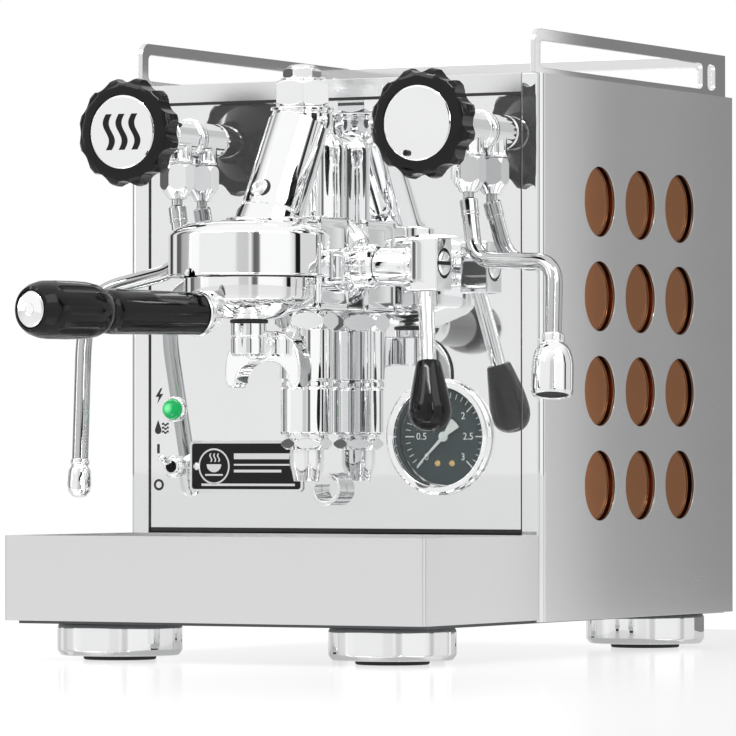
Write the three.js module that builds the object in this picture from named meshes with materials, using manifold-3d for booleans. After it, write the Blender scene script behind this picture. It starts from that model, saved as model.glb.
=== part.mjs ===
// Espresso machine with a lever-operated brew group, a lift-off cup tray and a sliding drip tray.
// Millimetres, +Z up. Seen from the front, +X is to the right and the front faces -Y.
// While the pieces are made, x = 0 is the middle of the body, y = 0 its front plane and z = 0 the floor.
import * as THREE from 'three';
import { mergeVertices } from 'three/addons/utils/BufferGeometryUtils.js';
import Module from 'manifold-3d';

const wasm = await Module();
wasm.setup();

// ---- driving dimensions ----------------------------------------------------------------
const GAP = 0.3; // clearance between pieces that touch
const SHEET = 1.5; // casing sheet thickness
const BODY = { halfWidth: 137, depth: 267.5, bottom: 21.8, top: 337.4, corner: 4.5, lip: 13 };
const PANEL = { halfWidth: 123.7, bottom: 75, top: 326.6, front: 1, back: 2.5 };
const HOLES = { radius: 20.5, pitch: 55.4, firstY: 76.7, topZ: 266.2, columns: 3, rows: 4 };
const LINER = { x: 133, thickness: 1, y0: 44, y1: 220, z0: 66, z1: 300 };
const PAN = { halfWidth: 132, front: -134, back: 262, wall: 2, height: 72, wallFront: 6 };
const TRAY = { halfWidth: 136, front: -144.5, back: -0.6, bottom: 23.1, top: 71.8, wall: 5, floor: 30 };
const GRATE = { top: 69, thickness: 2, slots: 13, slotWidth: 6, slotLength: 54 };
const FOOT = { radius: 36.2, x: 88.9, frontY: -93, rearY: 240, padRadius: 21, padHeight: 2 };
const DECK = { openingHalfWidth: 106, openingY0: 28, openingY1: 232 };
const CUP_TRAY = { halfWidth: 113, y0: 21, y1: 239, thickness: 1.6, slots: 9, slotWidth: 7 };
const RAIL = { x: 132, y0: 1, y1: 265, top: 363.5, band: 6.7, sill: 3.5, thickness: 3, leg: 7.5, corner: 8 };
const RAIL_SLOT = { start: 239, end: 250, rearInset: 17 }; // near the rear corners
const KNOB = { x: 96.6, z: 305.6, face: -78, rimBack: -64, hubBack: -50.3, radius: 32, lobes: 12 };
const SCALLOP = { radius: 7.5, centre: 36.5 };
const DISC = { radius: 21.5, depth: 2.2 };
const VALVE = { radius: 10, front: -50, jointY: -13.7, jointRadius: 9, nutTop: 290, nutBottom: 269 };
const NUT_CORNER = 10; // ball-joint nut, centre to corner
const STEM_RADIUS = 3.25;
const TUBE_RADIUS = 4.8;
const BELL = { y: -99.4, radius: 46, bottom: 219, shoulder: 242.5, top: 251, cavity: 39, ceiling: 238 };
const TOWER = { footY: -78, footZ: 247, headY: -42, headZ: 306.5, footRadius: 18.5, headRadius: 17.8 };
const CROWN = { y: -36.5, bottom: 298, top: 319.3, radius: 17.8, nut: 17.5, nutHeight: 15.2, bolt: 11 };
const CHAMBER = { y: -31, castingBottom: 201.5, castingTop: 256, castingHalf: 17 };
const COLUMN = { y: -14.5, radius: 14.5, bottom: 250, top: 306 };
const FLANGE = { radius: 26, spigot: 22, z: 232 };
const LEVER = { y: -31, z: 226.7, bonnetEnd: 35, bonnetHalf: 10, collarEnd: 47.5, shaftEnd: 72, blockEnd: 90 };
const ROD = { x: 76.4, y: -29.25, start: 8.5, radius: 4.6, lean: 14.3, splay: 9.8 }; // from the lever's block
const GRIP = { start: 58.5, end: 99.5, narrow: 7.2, wide: 12.3 };
const FILTER = { radius: 37.3, rim: 228, bottom: 194, bore: 30, turn: -13.5, handleZ: 197.5 };
const SPOUT = { hubRadius: 10.5, hubBottom: 174, rake: 18, spread: 23.5, tip: 158, radius: 6.2 };
const HANDLE = { start: 44.8, neck: 119, end: 177, thin: 12, fat: 16.3 };
const GAUGE = { x: 70.7, z: 128.5, radius: 34, face: -3.5, pocket: 28.8, floor: 8, barrel: 30.5 };
const LAMP = { x: -106.5, z: 145, radius: 6.5 };
const TOGGLE = { x: -106, z: 111, nutRadius: 6.5, bore: 3.6, tilt: 18, length: 16 };
const BADGE = { x0: -95.6, x1: -19.4, z0: 96.1, z1: 126.3 };
const DRAIN = { x: 0, z: 98, outer: 9.7, inner: 7.2, reach: 8.4 };
const BOILER = { x: -48, z: 245, radius: 56, wall: 3, y0: 62, y1: 236, port: 9 };
const TANK = { x0: 20, x1: 126, y0: 42, y1: 240, z0: 80, z1: 318, wall: 3 };
const INLET = { x: -85, z: 92, halfWidth: 24, halfHeight: 14, depth: 26 };

// ---- finishes --------------------------------------------------------------------------
const finish = (color, roughness, metalness) => ({ color, roughness, metalness });
const MIRROR_STEEL = finish(0xd9dbdc, 0.08, 1);
const SATIN_STEEL = finish(0xc4c6c8, 0.28, 1);
const CHROME = finish(0xe4e6e8, 0.05, 1);
const COPPER = finish(0xb87348, 0.3, 1);
const BLACK_PLASTIC = finish(0x0c0c0d, 0.25, 0);
const RUBBER = finish(0x141414, 0.8, 0);
const DIAL_GREEN = finish(0x24383a, 0.6, 0);
const PALE_PAINT = finish(0xe8e4d8, 0.5, 0);
const CLEAR_GLASS = finish(0xf4f8f8, 0.03, 0);
const GREEN_LENS = finish(0x1faa50, 0.15, 0);
const BRASS = finish(0xb79a56, 0.35, 1);
const CLEAR_PLASTIC = finish(0xdfe6ea, 0.3, 0);
const GREY_PAINT = finish(0x4a4d50, 0.6, 0.2);

// ---- solids ----------------------------------------------------------------------------
const degrees = (angle) => THREE.MathUtils.degToRad(angle);

function signedVolume(vertices, triangles) {
  const corner = (i) => new THREE.Vector3().fromArray(vertices, 3 * triangles[i]);
  let volume = 0;
  for (let i = 0; i < triangles.length; i += 3) {
    volume += corner(i).dot(corner(i + 1).cross(corner(i + 2)));
  }
  return volume;
}

function toSolid(geometry) {
  const bare = geometry.clone();
  bare.deleteAttribute('normal');
  bare.deleteAttribute('uv');
  const merged = mergeVertices(bare, 1e-4);
  const index = merged.index.array;
  const vertices = merged.attributes.position.array;
  const triangles = [];
  for (let i = 0; i < index.length; i += 3) {
    const [a, b, c] = [index[i], index[i + 1], index[i + 2]];
    if (a !== b && b !== c && c !== a) {
      triangles.push(a, b, c);
    }
  }
  if (signedVolume(vertices, triangles) < 0) {
    triangles.reverse();
  }
  return new wasm.Manifold(new wasm.Mesh({
    numProp: 3,
    vertProperties: new Float32Array(vertices),
    triVerts: new Uint32Array(triangles),
  }));
}

const union = (first, ...others) => others.reduce((whole, part) => whole.add(part), first);
const cut = (first, ...others) => others.reduce((whole, part) => whole.subtract(part), first);

function box(x0, x1, y0, y1, z0, z1) {
  const block = new THREE.BoxGeometry(x1 - x0, y1 - y0, z1 - z0);
  return toSolid(block.translate((x0 + x1) / 2, (y0 + y1) / 2, (z0 + z1) / 2));
}

// A straight round bar (or a hexagon, with six sides) between two points.
function bar(from, to, startRadius, endRadius = startRadius, sides = 18) {
  const start = new THREE.Vector3(...from);
  const end = new THREE.Vector3(...to);
  const length = start.distanceTo(end);
  const cylinder = new THREE.CylinderGeometry(endRadius, startRadius, length, sides);
  const turn = new THREE.Quaternion();
  turn.setFromUnitVectors(new THREE.Vector3(0, 1, 0), end.clone().sub(start).normalize());
  const middle = start.add(end).multiplyScalar(0.5);
  return toSolid(cylinder.applyQuaternion(turn).translate(middle.x, middle.y, middle.z));
}

const upright = (x, y, z0, z1, r0, r1 = r0, sides = 18) => bar([x, y, z0], [x, y, z1], r0, r1, sides);
const alongY = (x, z, y0, y1, r0, r1 = r0, sides = 18) => bar([x, y0, z], [x, y1, z], r0, r1, sides);
const alongX = (y, z, x0, x1, r0, r1 = r0, sides = 18) => bar([x0, y, z], [x1, y, z], r0, r1, sides);

// Turned pieces: the profile is a list of [radius, height] that starts and ends on the axis
// or closes on itself.
function turned(profile, sides) {
  const points = profile.map(([radius, height]) => new THREE.Vector2(radius, height));
  return new THREE.LatheGeometry(points, sides).rotateX(Math.PI / 2);
}

const turnedUpright = (x, y, profile, sides = 24) => toSolid(turned(profile, sides).translate(x, y, 0));

function turnedAlongY(x, z, profile, sides = 24) {
  return toSolid(turned(profile, sides).rotateX(-Math.PI / 2).translate(x, 0, z));
}

// The same kind of profile, with its height measured from a start point along a direction.
function turnedAlong(start, direction, profile, sides = 20) {
  const turn = new THREE.Quaternion().setFromUnitVectors(new THREE.Vector3(0, 0, 1), direction);
  return toSolid(turned(profile, sides).applyQuaternion(turn).translate(start.x, start.y, start.z));
}

// A path of straight runs joined by smooth bends that start and end a set length from each corner.
function bentPath(corners, bend) {
  const points = corners.map((corner) => new THREE.Vector3(...corner));
  const path = new THREE.CurvePath();
  let start = points[0];
  for (let i = 1; i < points.length - 1; i += 1) {
    const towards = (other) => {
      const step = other.clone().sub(points[i]);
      return points[i].clone().add(step.setLength(Math.min(bend, step.length() * 0.49)));
    };
    const before = towards(points[i - 1]);
    const after = towards(points[i + 1]);
    path.add(new THREE.LineCurve3(start, before));
    path.add(new THREE.QuadraticBezierCurve3(before, points[i], after));
    start = after;
  }
  path.add(new THREE.LineCurve3(start, points[points.length - 1]));
  return path;
}

function tube(path, radius, steps, sides = 10) {
  const section = new THREE.Shape();
  section.absarc(0, 0, radius, 0, 2 * Math.PI, false);
  const options = { extrudePath: path, steps, curveSegments: sides / 2 };
  return toSolid(new THREE.ExtrudeGeometry(section, options));
}

// A flat outline in X and Y, given height along Z.
function raised(outline, z0, z1, curveSegments = 6) {
  const options = { depth: z1 - z0, bevelEnabled: false, curveSegments };
  return toSolid(new THREE.ExtrudeGeometry(outline, options).translate(0, 0, z0));
}

// ---- assembly --------------------------------------------------------------------------
const machine = new THREE.Group();

function piece(name, solid, { color, roughness, metalness }) {
  const { vertProperties, triVerts } = solid.getMesh();
  const geometry = new THREE.BufferGeometry();
  geometry.setAttribute('position', new THREE.BufferAttribute(vertProperties, 3));
  geometry.setIndex(new THREE.BufferAttribute(triVerts, 1));
  geometry.computeVertexNormals();
  const material = new THREE.MeshStandardMaterial({ color, roughness, metalness });
  const mesh = new THREE.Mesh(geometry, material);
  mesh.name = name;
  machine.add(mesh);
}

const SIDES = [['left', -1], ['right', 1]];

// ---- casing ----------------------------------------------------------------------------
function sidePanel(side) {
  const { halfWidth: w, depth, corner: r, lip } = BODY;
  const inner = r - SHEET;
  const outline = new THREE.Shape();
  outline.moveTo(w - lip, 0);
  outline.lineTo(w - r, 0);
  outline.absarc(w - r, r, r, -Math.PI / 2, 0, false);
  outline.lineTo(w, depth - r);
  outline.absarc(w - r, depth - r, r, 0, Math.PI / 2, false);
  outline.lineTo(w - lip, depth);
  outline.lineTo(w - lip, depth - SHEET);
  outline.lineTo(w - r, depth - SHEET);
  outline.absarc(w - r, depth - r, inner, Math.PI / 2, 0, true);
  outline.lineTo(w - SHEET, r);
  outline.absarc(w - r, r, inner, 0, -Math.PI / 2, true);
  outline.lineTo(w - lip, SHEET);
  const options = { depth: BODY.top - BODY.bottom, bevelEnabled: false, curveSegments: 4 };
  const sheet = new THREE.ExtrudeGeometry(outline, options).translate(0, 0, BODY.bottom);
  const holes = [];
  for (let row = 0; row < HOLES.rows; row += 1) {
    for (let column = 0; column < HOLES.columns; column += 1) {
      const y = HOLES.firstY + column * HOLES.pitch;
      const z = HOLES.topZ - row * HOLES.pitch;
      holes.push(alongX(y, z, side * (w - 5), side * (w + 5), HOLES.radius, HOLES.radius, 24));
    }
  }
  return cut(toSolid(sheet.scale(side, 1, 1)), ...holes);
}

function copperLiner(side) {
  const [near, far] = [LINER.x, LINER.x + LINER.thickness];
  const [x0, x1] = side > 0 ? [near, far] : [-far, -near];
  return box(x0, x1, LINER.y0, LINER.y1, LINER.z0, LINER.z1);
}

function topDeck() {
  const w = BODY.halfWidth - SHEET - GAP;
  const front = SHEET + GAP;
  const back = BODY.depth - SHEET - GAP;
  const outline = new THREE.Shape([[-1, front, back], [1, back, front]].flatMap(([side, from, to]) => {
    const step = Math.sign(to - from) * BODY.corner;
    return [[w - BODY.corner, from], [w, from + step], [w, to - step], [w - BODY.corner, to]].map(
      ([x, y]) => new THREE.Vector2(side * x, y),
    );
  }));
  const plate = raised(outline, BODY.top - SHEET, BODY.top);
  const lip = box(-PANEL.halfWidth, PANEL.halfWidth, 0, SHEET + 1, PANEL.top + GAP, BODY.top);
  const { openingHalfWidth: o, openingY0, openingY1 } = DECK;
  return cut(union(plate, lip), box(-o, o, openingY0, openingY1, BODY.top - 5, BODY.top + 5));
}

function cupTray() {
  const { halfWidth: w, y0, y1, thickness, slots, slotWidth } = CUP_TRAY;
  const bottom = BODY.top + GAP;
  const plate = box(-w, w, y0, y1, bottom, bottom + thickness);
  const pitch = (y1 - y0 - 40) / (slots - 1);
  const cuts = [];
  for (let i = 0; i < slots; i += 1) {
    const y = y0 + 20 + i * pitch;
    for (const side of [-1, 1]) {
      const [x0, x1] = side > 0 ? [12, w - 18] : [18 - w, -12];
      cuts.push(box(x0, x1, y - slotWidth / 2, y + slotWidth / 2, bottom - 2, bottom + 4));
    }
  }
  return cut(plate, ...cuts);
}

// One plate of the cup rail: a flat strip standing on the deck, with its first top corner rounded
// and windows cut through it, drawn in the plane of its length and height.
function railPlate(start, end, corner, windows) {
  const foot = BODY.top + GAP;
  const { top, band, sill } = RAIL;
  const plate = new THREE.Shape();
  plate.moveTo(start, foot);
  plate.lineTo(start, top - corner);
  plate.absarc(start + corner, top - corner, corner, Math.PI, Math.PI / 2, true);
  plate.lineTo(end, top);
  plate.lineTo(end, foot);
  for (const [from, to] of windows) {
    const [low, high] = [foot + sill, top - band];
    const r = 3.5;
    const hole = new THREE.Path();
    hole.absarc(from + r, low + r, r, Math.PI, 1.5 * Math.PI, false);
    hole.absarc(to - r, low + r, r, 1.5 * Math.PI, 2 * Math.PI, false);
    hole.absarc(to - r, high - r, r, 0, Math.PI / 2, false);
    hole.absarc(from + r, high - r, r, Math.PI / 2, Math.PI, false);
    plate.holes.push(hole);
  }
  return new THREE.ExtrudeGeometry(plate, { depth: RAIL.thickness, bevelEnabled: false, curveSegments: 4 });
}

function cupRail() {
  const { x, y0, y1, leg, thickness, corner } = RAIL;
  const { start, end, rearInset } = RAIL_SLOT;
  const windows = [[y0 + leg, start - leg], [start, end]];
  const side = () => railPlate(y0, y1, corner, windows).rotateX(Math.PI / 2).rotateZ(Math.PI / 2);
  const rear = railPlate(1 - x, x - 1, 0.5, [[rearInset - x, x - rearInset]]).rotateX(Math.PI / 2);
  return union(
    toSolid(side().translate(x - thickness, 0, 0)),
    toSolid(side().translate(-x, 0, 0)),
    toSolid(rear.translate(0, y1 - 0.2, 0)),
  );
}

function frontPanel() {
  const sheet = box(-PANEL.halfWidth, PANEL.halfWidth, PANEL.front, PANEL.back, PANEL.bottom, PANEL.top);
  const hole = (x, z, radius, sides) => alongY(x, z, -5, 10, radius, radius, sides);
  return cut(
    sheet,
    hole(-KNOB.x, KNOB.z, VALVE.radius + GAP, 20),
    hole(KNOB.x, KNOB.z, VALVE.radius + GAP, 20),
    hole(0, FLANGE.z, FLANGE.spigot + 0.5, 20),
    hole(GAUGE.x, GAUGE.z, GAUGE.barrel + 0.5, 32),
    hole(LAMP.x, LAMP.z, 5.4, 16),
    hole(TOGGLE.x, TOGGLE.z, 5.4, 16),
  );
}

function rearPanel() {
  const w = BODY.halfWidth - SHEET - 4;
  const back = BODY.depth - SHEET - GAP;
  const sheet = box(-w, w, back - SHEET, back, BODY.bottom + 2, BODY.top - SHEET - GAP);
  const { x, z, halfWidth, halfHeight } = INLET;
  const opening = box(x - halfWidth + 3, x + halfWidth - 3, back - 9, back + 9,
    z - halfHeight + 3, z + halfHeight - 3);
  const vents = [];
  for (let i = 0; i < 6; i += 1) {
    vents.push(box(-45, 45, back - 9, back + 9, 230 + 12 * i, 234 + 12 * i));
  }
  return cut(sheet, opening, ...vents);
}

function chassisPan() {
  const { halfWidth: w, front, back, wall, height, wallFront } = PAN;
  const floor = box(-w, w, front, back, BODY.bottom - 0.6, BODY.bottom + 1);
  const well = box(-w, w, wallFront, back, BODY.bottom, height);
  const room = box(wall - w, w - wall, wallFront + wall, back - wall, BODY.bottom + 1, height + 1);
  const notch = (side) => {
    const ends = [side * (BODY.halfWidth - BODY.lip - GAP), side * (w + 1)].sort((a, b) => a - b);
    return box(...ends, -GAP, SHEET + GAP, BODY.bottom - 5, BODY.bottom + 5);
  };
  return union(cut(floor, notch(-1), notch(1)), cut(well, room));
}

for (const [word, side] of SIDES) {
  piece(`${word}_side_panel`, sidePanel(side), SATIN_STEEL);
  piece(`${word}_copper_liner`, copperLiner(side), COPPER);
}
piece('top_deck', topDeck(), MIRROR_STEEL);
piece('cup_tray', cupTray(), SATIN_STEEL);
piece('cup_rail', cupRail(), MIRROR_STEEL);
piece('front_panel', frontPanel(), MIRROR_STEEL);
piece('rear_panel', rearPanel(), SATIN_STEEL);
piece('chassis_pan', chassisPan(), GREY_PAINT);

// ---- feet ------------------------------------------------------------------------------
function foot(x, y) {
  const top = BODY.bottom - 0.6 - GAP;
  const bottom = FOOT.padHeight + GAP;
  const { radius: r } = FOOT;
  return turnedUpright(x, y, [
    [0, bottom], [r - 5, bottom], [r - 1.5, bottom + 1.8], [r, bottom + 5],
    [r, top - 1.5], [r - 1.5, top], [0, top],
  ], 22);
}

for (const [word, side] of SIDES) {
  for (const [end, y] of [['front', FOOT.frontY], ['rear', FOOT.rearY]]) {
    const x = side * FOOT.x;
    piece(`${end}_${word}_foot`, foot(x, y), CHROME);
    piece(`${end}_${word}_foot_pad`, upright(x, y, 0, FOOT.padHeight, FOOT.padRadius), RUBBER);
  }
}

// ---- drip tray -------------------------------------------------------------------------
function dripTray() {
  const { halfWidth: w, front, back, bottom, top, wall, floor } = TRAY;
  const basin = box(wall - w, w - wall, front + wall, back - wall, floor, top + 1);
  const shell = cut(box(-w, w, front, back, bottom, top), basin);
  const ledge = GRATE.top - GRATE.thickness - GAP;
  const shelf = (x0, x1) => box(x0, x1, front + wall - 1, back - wall + 1, ledge - 4, ledge);
  return union(shell, shelf(-w + wall - 1, -w + wall + 6), shelf(w - wall - 6, w - wall + 1));
}

function dripGrate() {
  const w = TRAY.halfWidth - TRAY.wall - GAP;
  const y0 = TRAY.front + TRAY.wall + GAP;
  const y1 = TRAY.back - TRAY.wall - GAP;
  const plate = box(-w, w, y0, y1, GRATE.top - GRATE.thickness, GRATE.top);
  const pitch = (2 * w - 36) / (GRATE.slots - 1);
  const middle = (y0 + y1) / 2;
  const cuts = [];
  for (let i = 0; i < GRATE.slots; i += 1) {
    const x = 18 - w + i * pitch;
    for (const row of [-1, 1]) {
      const y = middle + row * (GRATE.slotLength / 2 + 4);
      cuts.push(box(x - GRATE.slotWidth / 2, x + GRATE.slotWidth / 2,
        y - GRATE.slotLength / 2, y + GRATE.slotLength / 2, GRATE.top - 6, GRATE.top + 4));
    }
  }
  return cut(plate, ...cuts);
}

piece('drip_tray', dripTray(), SATIN_STEEL);
piece('drip_grate', dripGrate(), MIRROR_STEEL);

// ---- steam and hot-water valves --------------------------------------------------------
// The lobed rim's outline: concave scallops between short lobes.
function lobedOutline() {
  const { radius: r, lobes } = KNOB;
  const { radius: s, centre: d } = SCALLOP;
  const half = Math.acos((d * d + r * r - s * s) / (2 * d * r));
  const outline = new THREE.Shape();
  for (let i = 0; i < lobes; i += 1) {
    const middle = (i * 2 * Math.PI) / lobes;
    const enter = new THREE.Vector2(r * Math.cos(middle - half), r * Math.sin(middle - half));
    const leave = new THREE.Vector2(r * Math.cos(middle + half), r * Math.sin(middle + half));
    const centre = new THREE.Vector2(d * Math.cos(middle), d * Math.sin(middle));
    const from = enter.clone().sub(centre).angle();
    const to = leave.clone().sub(centre).angle();
    if (i === 0) {
      outline.moveTo(enter.x, enter.y);
    } else {
      outline.lineTo(enter.x, enter.y);
    }
    outline.absarc(centre.x, centre.y, s, from, to, true);
  }
  return outline;
}

function knob(x) {
  const bevel = 2;
  const options = {
    depth: KNOB.rimBack - KNOB.face - 2 * bevel, curveSegments: 3,
    bevelThickness: bevel, bevelSize: bevel, bevelOffset: -bevel, bevelSegments: 1,
  };
  const rim = new THREE.ExtrudeGeometry(lobedOutline(), options);
  rim.rotateX(Math.PI / 2).translate(x, KNOB.rimBack - bevel, KNOB.z);
  const hub = alongY(x, KNOB.z, KNOB.hubBack, KNOB.rimBack - 4, 13, 23, 20);
  const pocket = alongY(x, KNOB.z, KNOB.face - 5, KNOB.face + DISC.depth, DISC.radius + GAP);
  return cut(union(toSolid(rim), hub), pocket);
}

function valve(x) {
  const { radius: r, front, jointY, jointRadius, nutTop } = VALVE;
  const barrel = alongY(x, KNOB.z, front, 22, r);
  const collar = alongY(x, KNOB.z, -1.5, PANEL.front - GAP, r + 1);
  const branch = upright(x, jointY, nutTop + GAP, KNOB.z, jointRadius);
  return union(barrel, collar, branch);
}

// The union nut of a wand's ball joint, open underneath for the wand's stem.
function ballNut(x) {
  const { jointY: y, nutTop, nutBottom } = VALVE;
  const hexagon = upright(x, y, nutBottom + 5, nutTop, NUT_CORNER, NUT_CORNER, 6);
  const skirt = upright(x, y, nutBottom, nutBottom + 5, NUT_CORNER - 3.5, NUT_CORNER - 1.4, 24);
  return cut(union(hexagon, skirt), upright(x, y, nutBottom - 1, nutBottom + 12, STEM_RADIUS + 1.4));
}

function wand(corners, bend) {
  const [x, y, top] = corners[0];
  const stem = upright(x, y, top - 6, VALVE.nutBottom + 11, STEM_RADIUS, STEM_RADIUS, 16);
  return union(stem, tube(bentPath(corners, bend), TUBE_RADIUS, 26));
}

const WAND_TOP = 264.5;
const STEAM_PATH = [
  [-KNOB.x, VALVE.jointY, WAND_TOP], [-91, -15.5, 228], [-134, -45, 214], [-139.5, -49, 190],
  [-134.2, -62.1, 115.3],
];
const WATER_PATH = [
  [KNOB.x, VALVE.jointY, WAND_TOP], [104, -22, 229.5], [164.5, -40, 227.5], [165.5, -40, 183],
];

function steamTip() {
  const [before, end] = STEAM_PATH.slice(-2).map((corner) => new THREE.Vector3(...corner));
  return turnedAlong(end, end.clone().sub(before).normalize(), [
    [0, GAP], [5, GAP], [6.4, 10], [7, 15], [6.4, 19], [4, 22], [0, 22.5],
  ]);
}

function waterNozzle() {
  const [x, y, z] = WATER_PATH[WATER_PATH.length - 1];
  const top = z - GAP;
  return turnedUpright(x, y, [
    [0, top], [5.6, top], [6.2, top - 6], [10.4, top - 12], [11.75, top - 19], [11.75, top - 30],
    [10.8, top - 32.4], [8.6, top - 32.4], [8.6, top - 26], [0, top - 26],
  ], 20);
}

piece('steam_knob', knob(-KNOB.x), BLACK_PLASTIC);
piece('water_knob', knob(KNOB.x), BLACK_PLASTIC);
for (const [word, x] of [['steam', -KNOB.x], ['water', KNOB.x]]) {
  const back = KNOB.face + DISC.depth - GAP;
  piece(`${word}_knob_disc`, alongY(x, KNOB.z, KNOB.face - 0.5, back, DISC.radius), CHROME);
  piece(`${word}_valve`, valve(x), CHROME);
  piece(`${word}_ball_nut`, ballNut(x), CHROME);
}
piece('steam_wand', wand(STEAM_PATH, 16), CHROME);
piece('steam_tip', steamTip(), CHROME);
piece('water_wand', wand(WATER_PATH, 14), CHROME);
piece('water_nozzle', waterNozzle(), CHROME);

// ---- brew group ------------------------------------------------------------------------
function groupHead() {
  const { y, radius: r, bottom, shoulder, top, cavity, ceiling } = BELL;
  const bell = turnedUpright(0, y, [
    [0, top], [30, top - 0.4], [39, top - 2.2], [44, top - 5], [r, shoulder], [r, bottom + 0.8],
    [r - 0.8, bottom], [cavity, bottom], [cavity, ceiling], [0, ceiling],
  ], 32);
  const foot = [0, TOWER.footY, TOWER.footZ];
  const head = [0, TOWER.headY, TOWER.headZ];
  const tower = bar(foot, head, TOWER.footRadius, TOWER.headRadius, 22);
  const crown = upright(0, CROWN.y, CROWN.bottom, CROWN.top, 12, CROWN.radius, 22);
  const column = turnedUpright(0, COLUMN.y, [
    [0, COLUMN.bottom], [COLUMN.radius, COLUMN.bottom], [COLUMN.radius, COLUMN.top - 9],
    [COLUMN.radius - 4, COLUMN.top - 2.5], [0, COLUMN.top],
  ], 20);
  const half = CHAMBER.castingHalf;
  const casting = box(-half, half, CHAMBER.y - half, -8, CHAMBER.castingBottom, CHAMBER.castingTop);
  const neck = box(-16, 16, y + 20, CHAMBER.y, shoulder, CHAMBER.castingTop - 2);
  const flange = alongY(0, FLANGE.z, -9, PANEL.front - GAP, FLANGE.radius);
  const spigot = alongY(0, FLANGE.z, -9, 30, FLANGE.spigot);
  const { bonnetHalf: b, bonnetEnd, collarEnd } = LEVER;
  const bonnet = box(half - 1, bonnetEnd, LEVER.y - b, LEVER.y + b, LEVER.z - b, LEVER.z + b);
  const collar = alongX(LEVER.y, LEVER.z, bonnetEnd - 1, collarEnd, 13, 13, 20);
  const upper = union(bell, tower, crown, column, casting, neck, flange, spigot, bonnet, collar);
  return cut(upper, turnedUpright(0, y, [[0, bottom - 5], [cavity, bottom - 5], [cavity, ceiling], [0, ceiling]], 32));
}

function capNut() {
  const { y, top, nut, nutHeight, bolt } = CROWN;
  const base = top + GAP;
  const wide = upright(0, 0, base, base + nutHeight, nut, nut, 6).rotate([0, 0, 30]).translate([0, y, 0]);
  const small = upright(0, y, base + nutHeight - 1, base + nutHeight + 9.6, bolt, bolt, 6);
  return union(wide, small);
}

function lowerValve() {
  const { y, castingBottom } = CHAMBER;
  const hexagon = upright(0, y, 190, castingBottom - GAP, 18.5, 18.5, 6);
  const barrel = turnedUpright(0, y, [
    [0, 191], [16, 191], [16, 162], [14.6, 161], [15.6, 160], [15.6, 158], [14.6, 157],
    [15.3, 156], [15.3, 129.7], [0, 129.7],
  ], 22);
  return union(hexagon, barrel);
}

function valveOutlet() {
  const { y } = CHAMBER;
  const hexagon = upright(0, y, 121, 127.5, 14.5, 14.5, 6);
  const spout = turnedUpright(0, y, [
    [0, 130], [12.5, 130], [12.5, 121.5], [10, 121], [10, 112], [7.4, 102.6], [4.5, 102.6],
    [4.5, 116], [0, 116],
  ], 18);
  return union(hexagon, spout);
}

piece('group_head', groupHead(), CHROME);
piece('group_cap_nut', capNut(), CHROME);
piece('lower_valve', union(lowerValve(), valveOutlet()), CHROME);

// The brew lever: a cross shaft with a square block, a splayed rod and a teardrop grip.
const LEVER_AXIS = new THREE.Vector3(
  Math.tan(degrees(ROD.splay)), -Math.tan(degrees(ROD.lean)), -1,
).normalize();
const LEVER_HUB = new THREE.Vector3(ROD.x, ROD.y, LEVER.z);
const leverPoint = (distance) => LEVER_HUB.clone().addScaledVector(LEVER_AXIS, distance).toArray();

function leverShaft() {
  const { y, z, collarEnd, shaftEnd, blockEnd } = LEVER;
  const shaft = alongX(y, z, collarEnd + GAP, shaftEnd + 1, 11);
  const block = box(shaftEnd, blockEnd, y - 9.5, y + 9.5, z - 14.7, z + 15.7);
  const socket = bar(leverPoint(ROD.start - GAP), leverPoint(40), ROD.radius + 0.6, ROD.radius + 0.6, 16);
  const cap = alongX(y, z, blockEnd - 1.2, blockEnd + 1, 8.6);
  return cut(union(shaft, block), socket, cap);
}

function leverGrip() {
  const { start, end, narrow, wide } = GRIP;
  const profile = [[0, start], [narrow, start], [narrow + 1.6, start + 10]];
  const bulge = end - wide;
  for (let i = 0; i <= 6; i += 1) {
    const angle = degrees(15 * i);
    profile.push([wide * Math.cos(angle), bulge + wide * Math.sin(angle)]);
  }
  profile[profile.length - 1][0] = 0;
  profile.splice(3, 0, [wide - 1, bulge - 11]);
  return turnedAlong(LEVER_HUB, LEVER_AXIS, profile);
}

piece('lever_shaft', leverShaft(), CHROME);
piece('lever_rod', bar(leverPoint(ROD.start), leverPoint(GRIP.start - GAP), ROD.radius, ROD.radius, 16), CHROME);
piece('lever_grip', leverGrip(), BLACK_PLASTIC);

// ---- portafilter -----------------------------------------------------------------------
// Its own pieces are made with the handle along -Y and then turned about the bell's axis.
function turnedWithHandle(geometry) {
  return geometry.rotateZ(degrees(FILTER.turn)).translate(0, BELL.y, 0);
}

function handlePoint(distance, z = FILTER.handleZ) {
  const turn = degrees(FILTER.turn);
  return [distance * Math.sin(turn), BELL.y - distance * Math.cos(turn), z];
}

function portafilter() {
  const { radius: r, rim, bottom, bore } = FILTER;
  const bowl = [[4, bottom + 5], [10, bottom + 6], [bore, bottom + 13], [bore, rim]];
  const cup = turnedUpright(0, BELL.y, [
    [4, bottom], [9.5, bottom], [19, bottom + 2.5], [33, bottom + 9], [r, bottom + 14], [r, rim - 10],
    [bore + 6.5, rim - 9], [bore + 6.5, rim], ...[...bowl].reverse(), [4, bottom],
  ], 28);
  const arm = bar(handlePoint(26), handlePoint(HANDLE.start - GAP), 9, 12.4);
  const inside = turnedUpright(0, BELL.y, [[0, bottom + 5], ...bowl, [bore, rim + 1], [0, rim + 1]], 28);
  return union(cup, cut(arm, inside));
}

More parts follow.
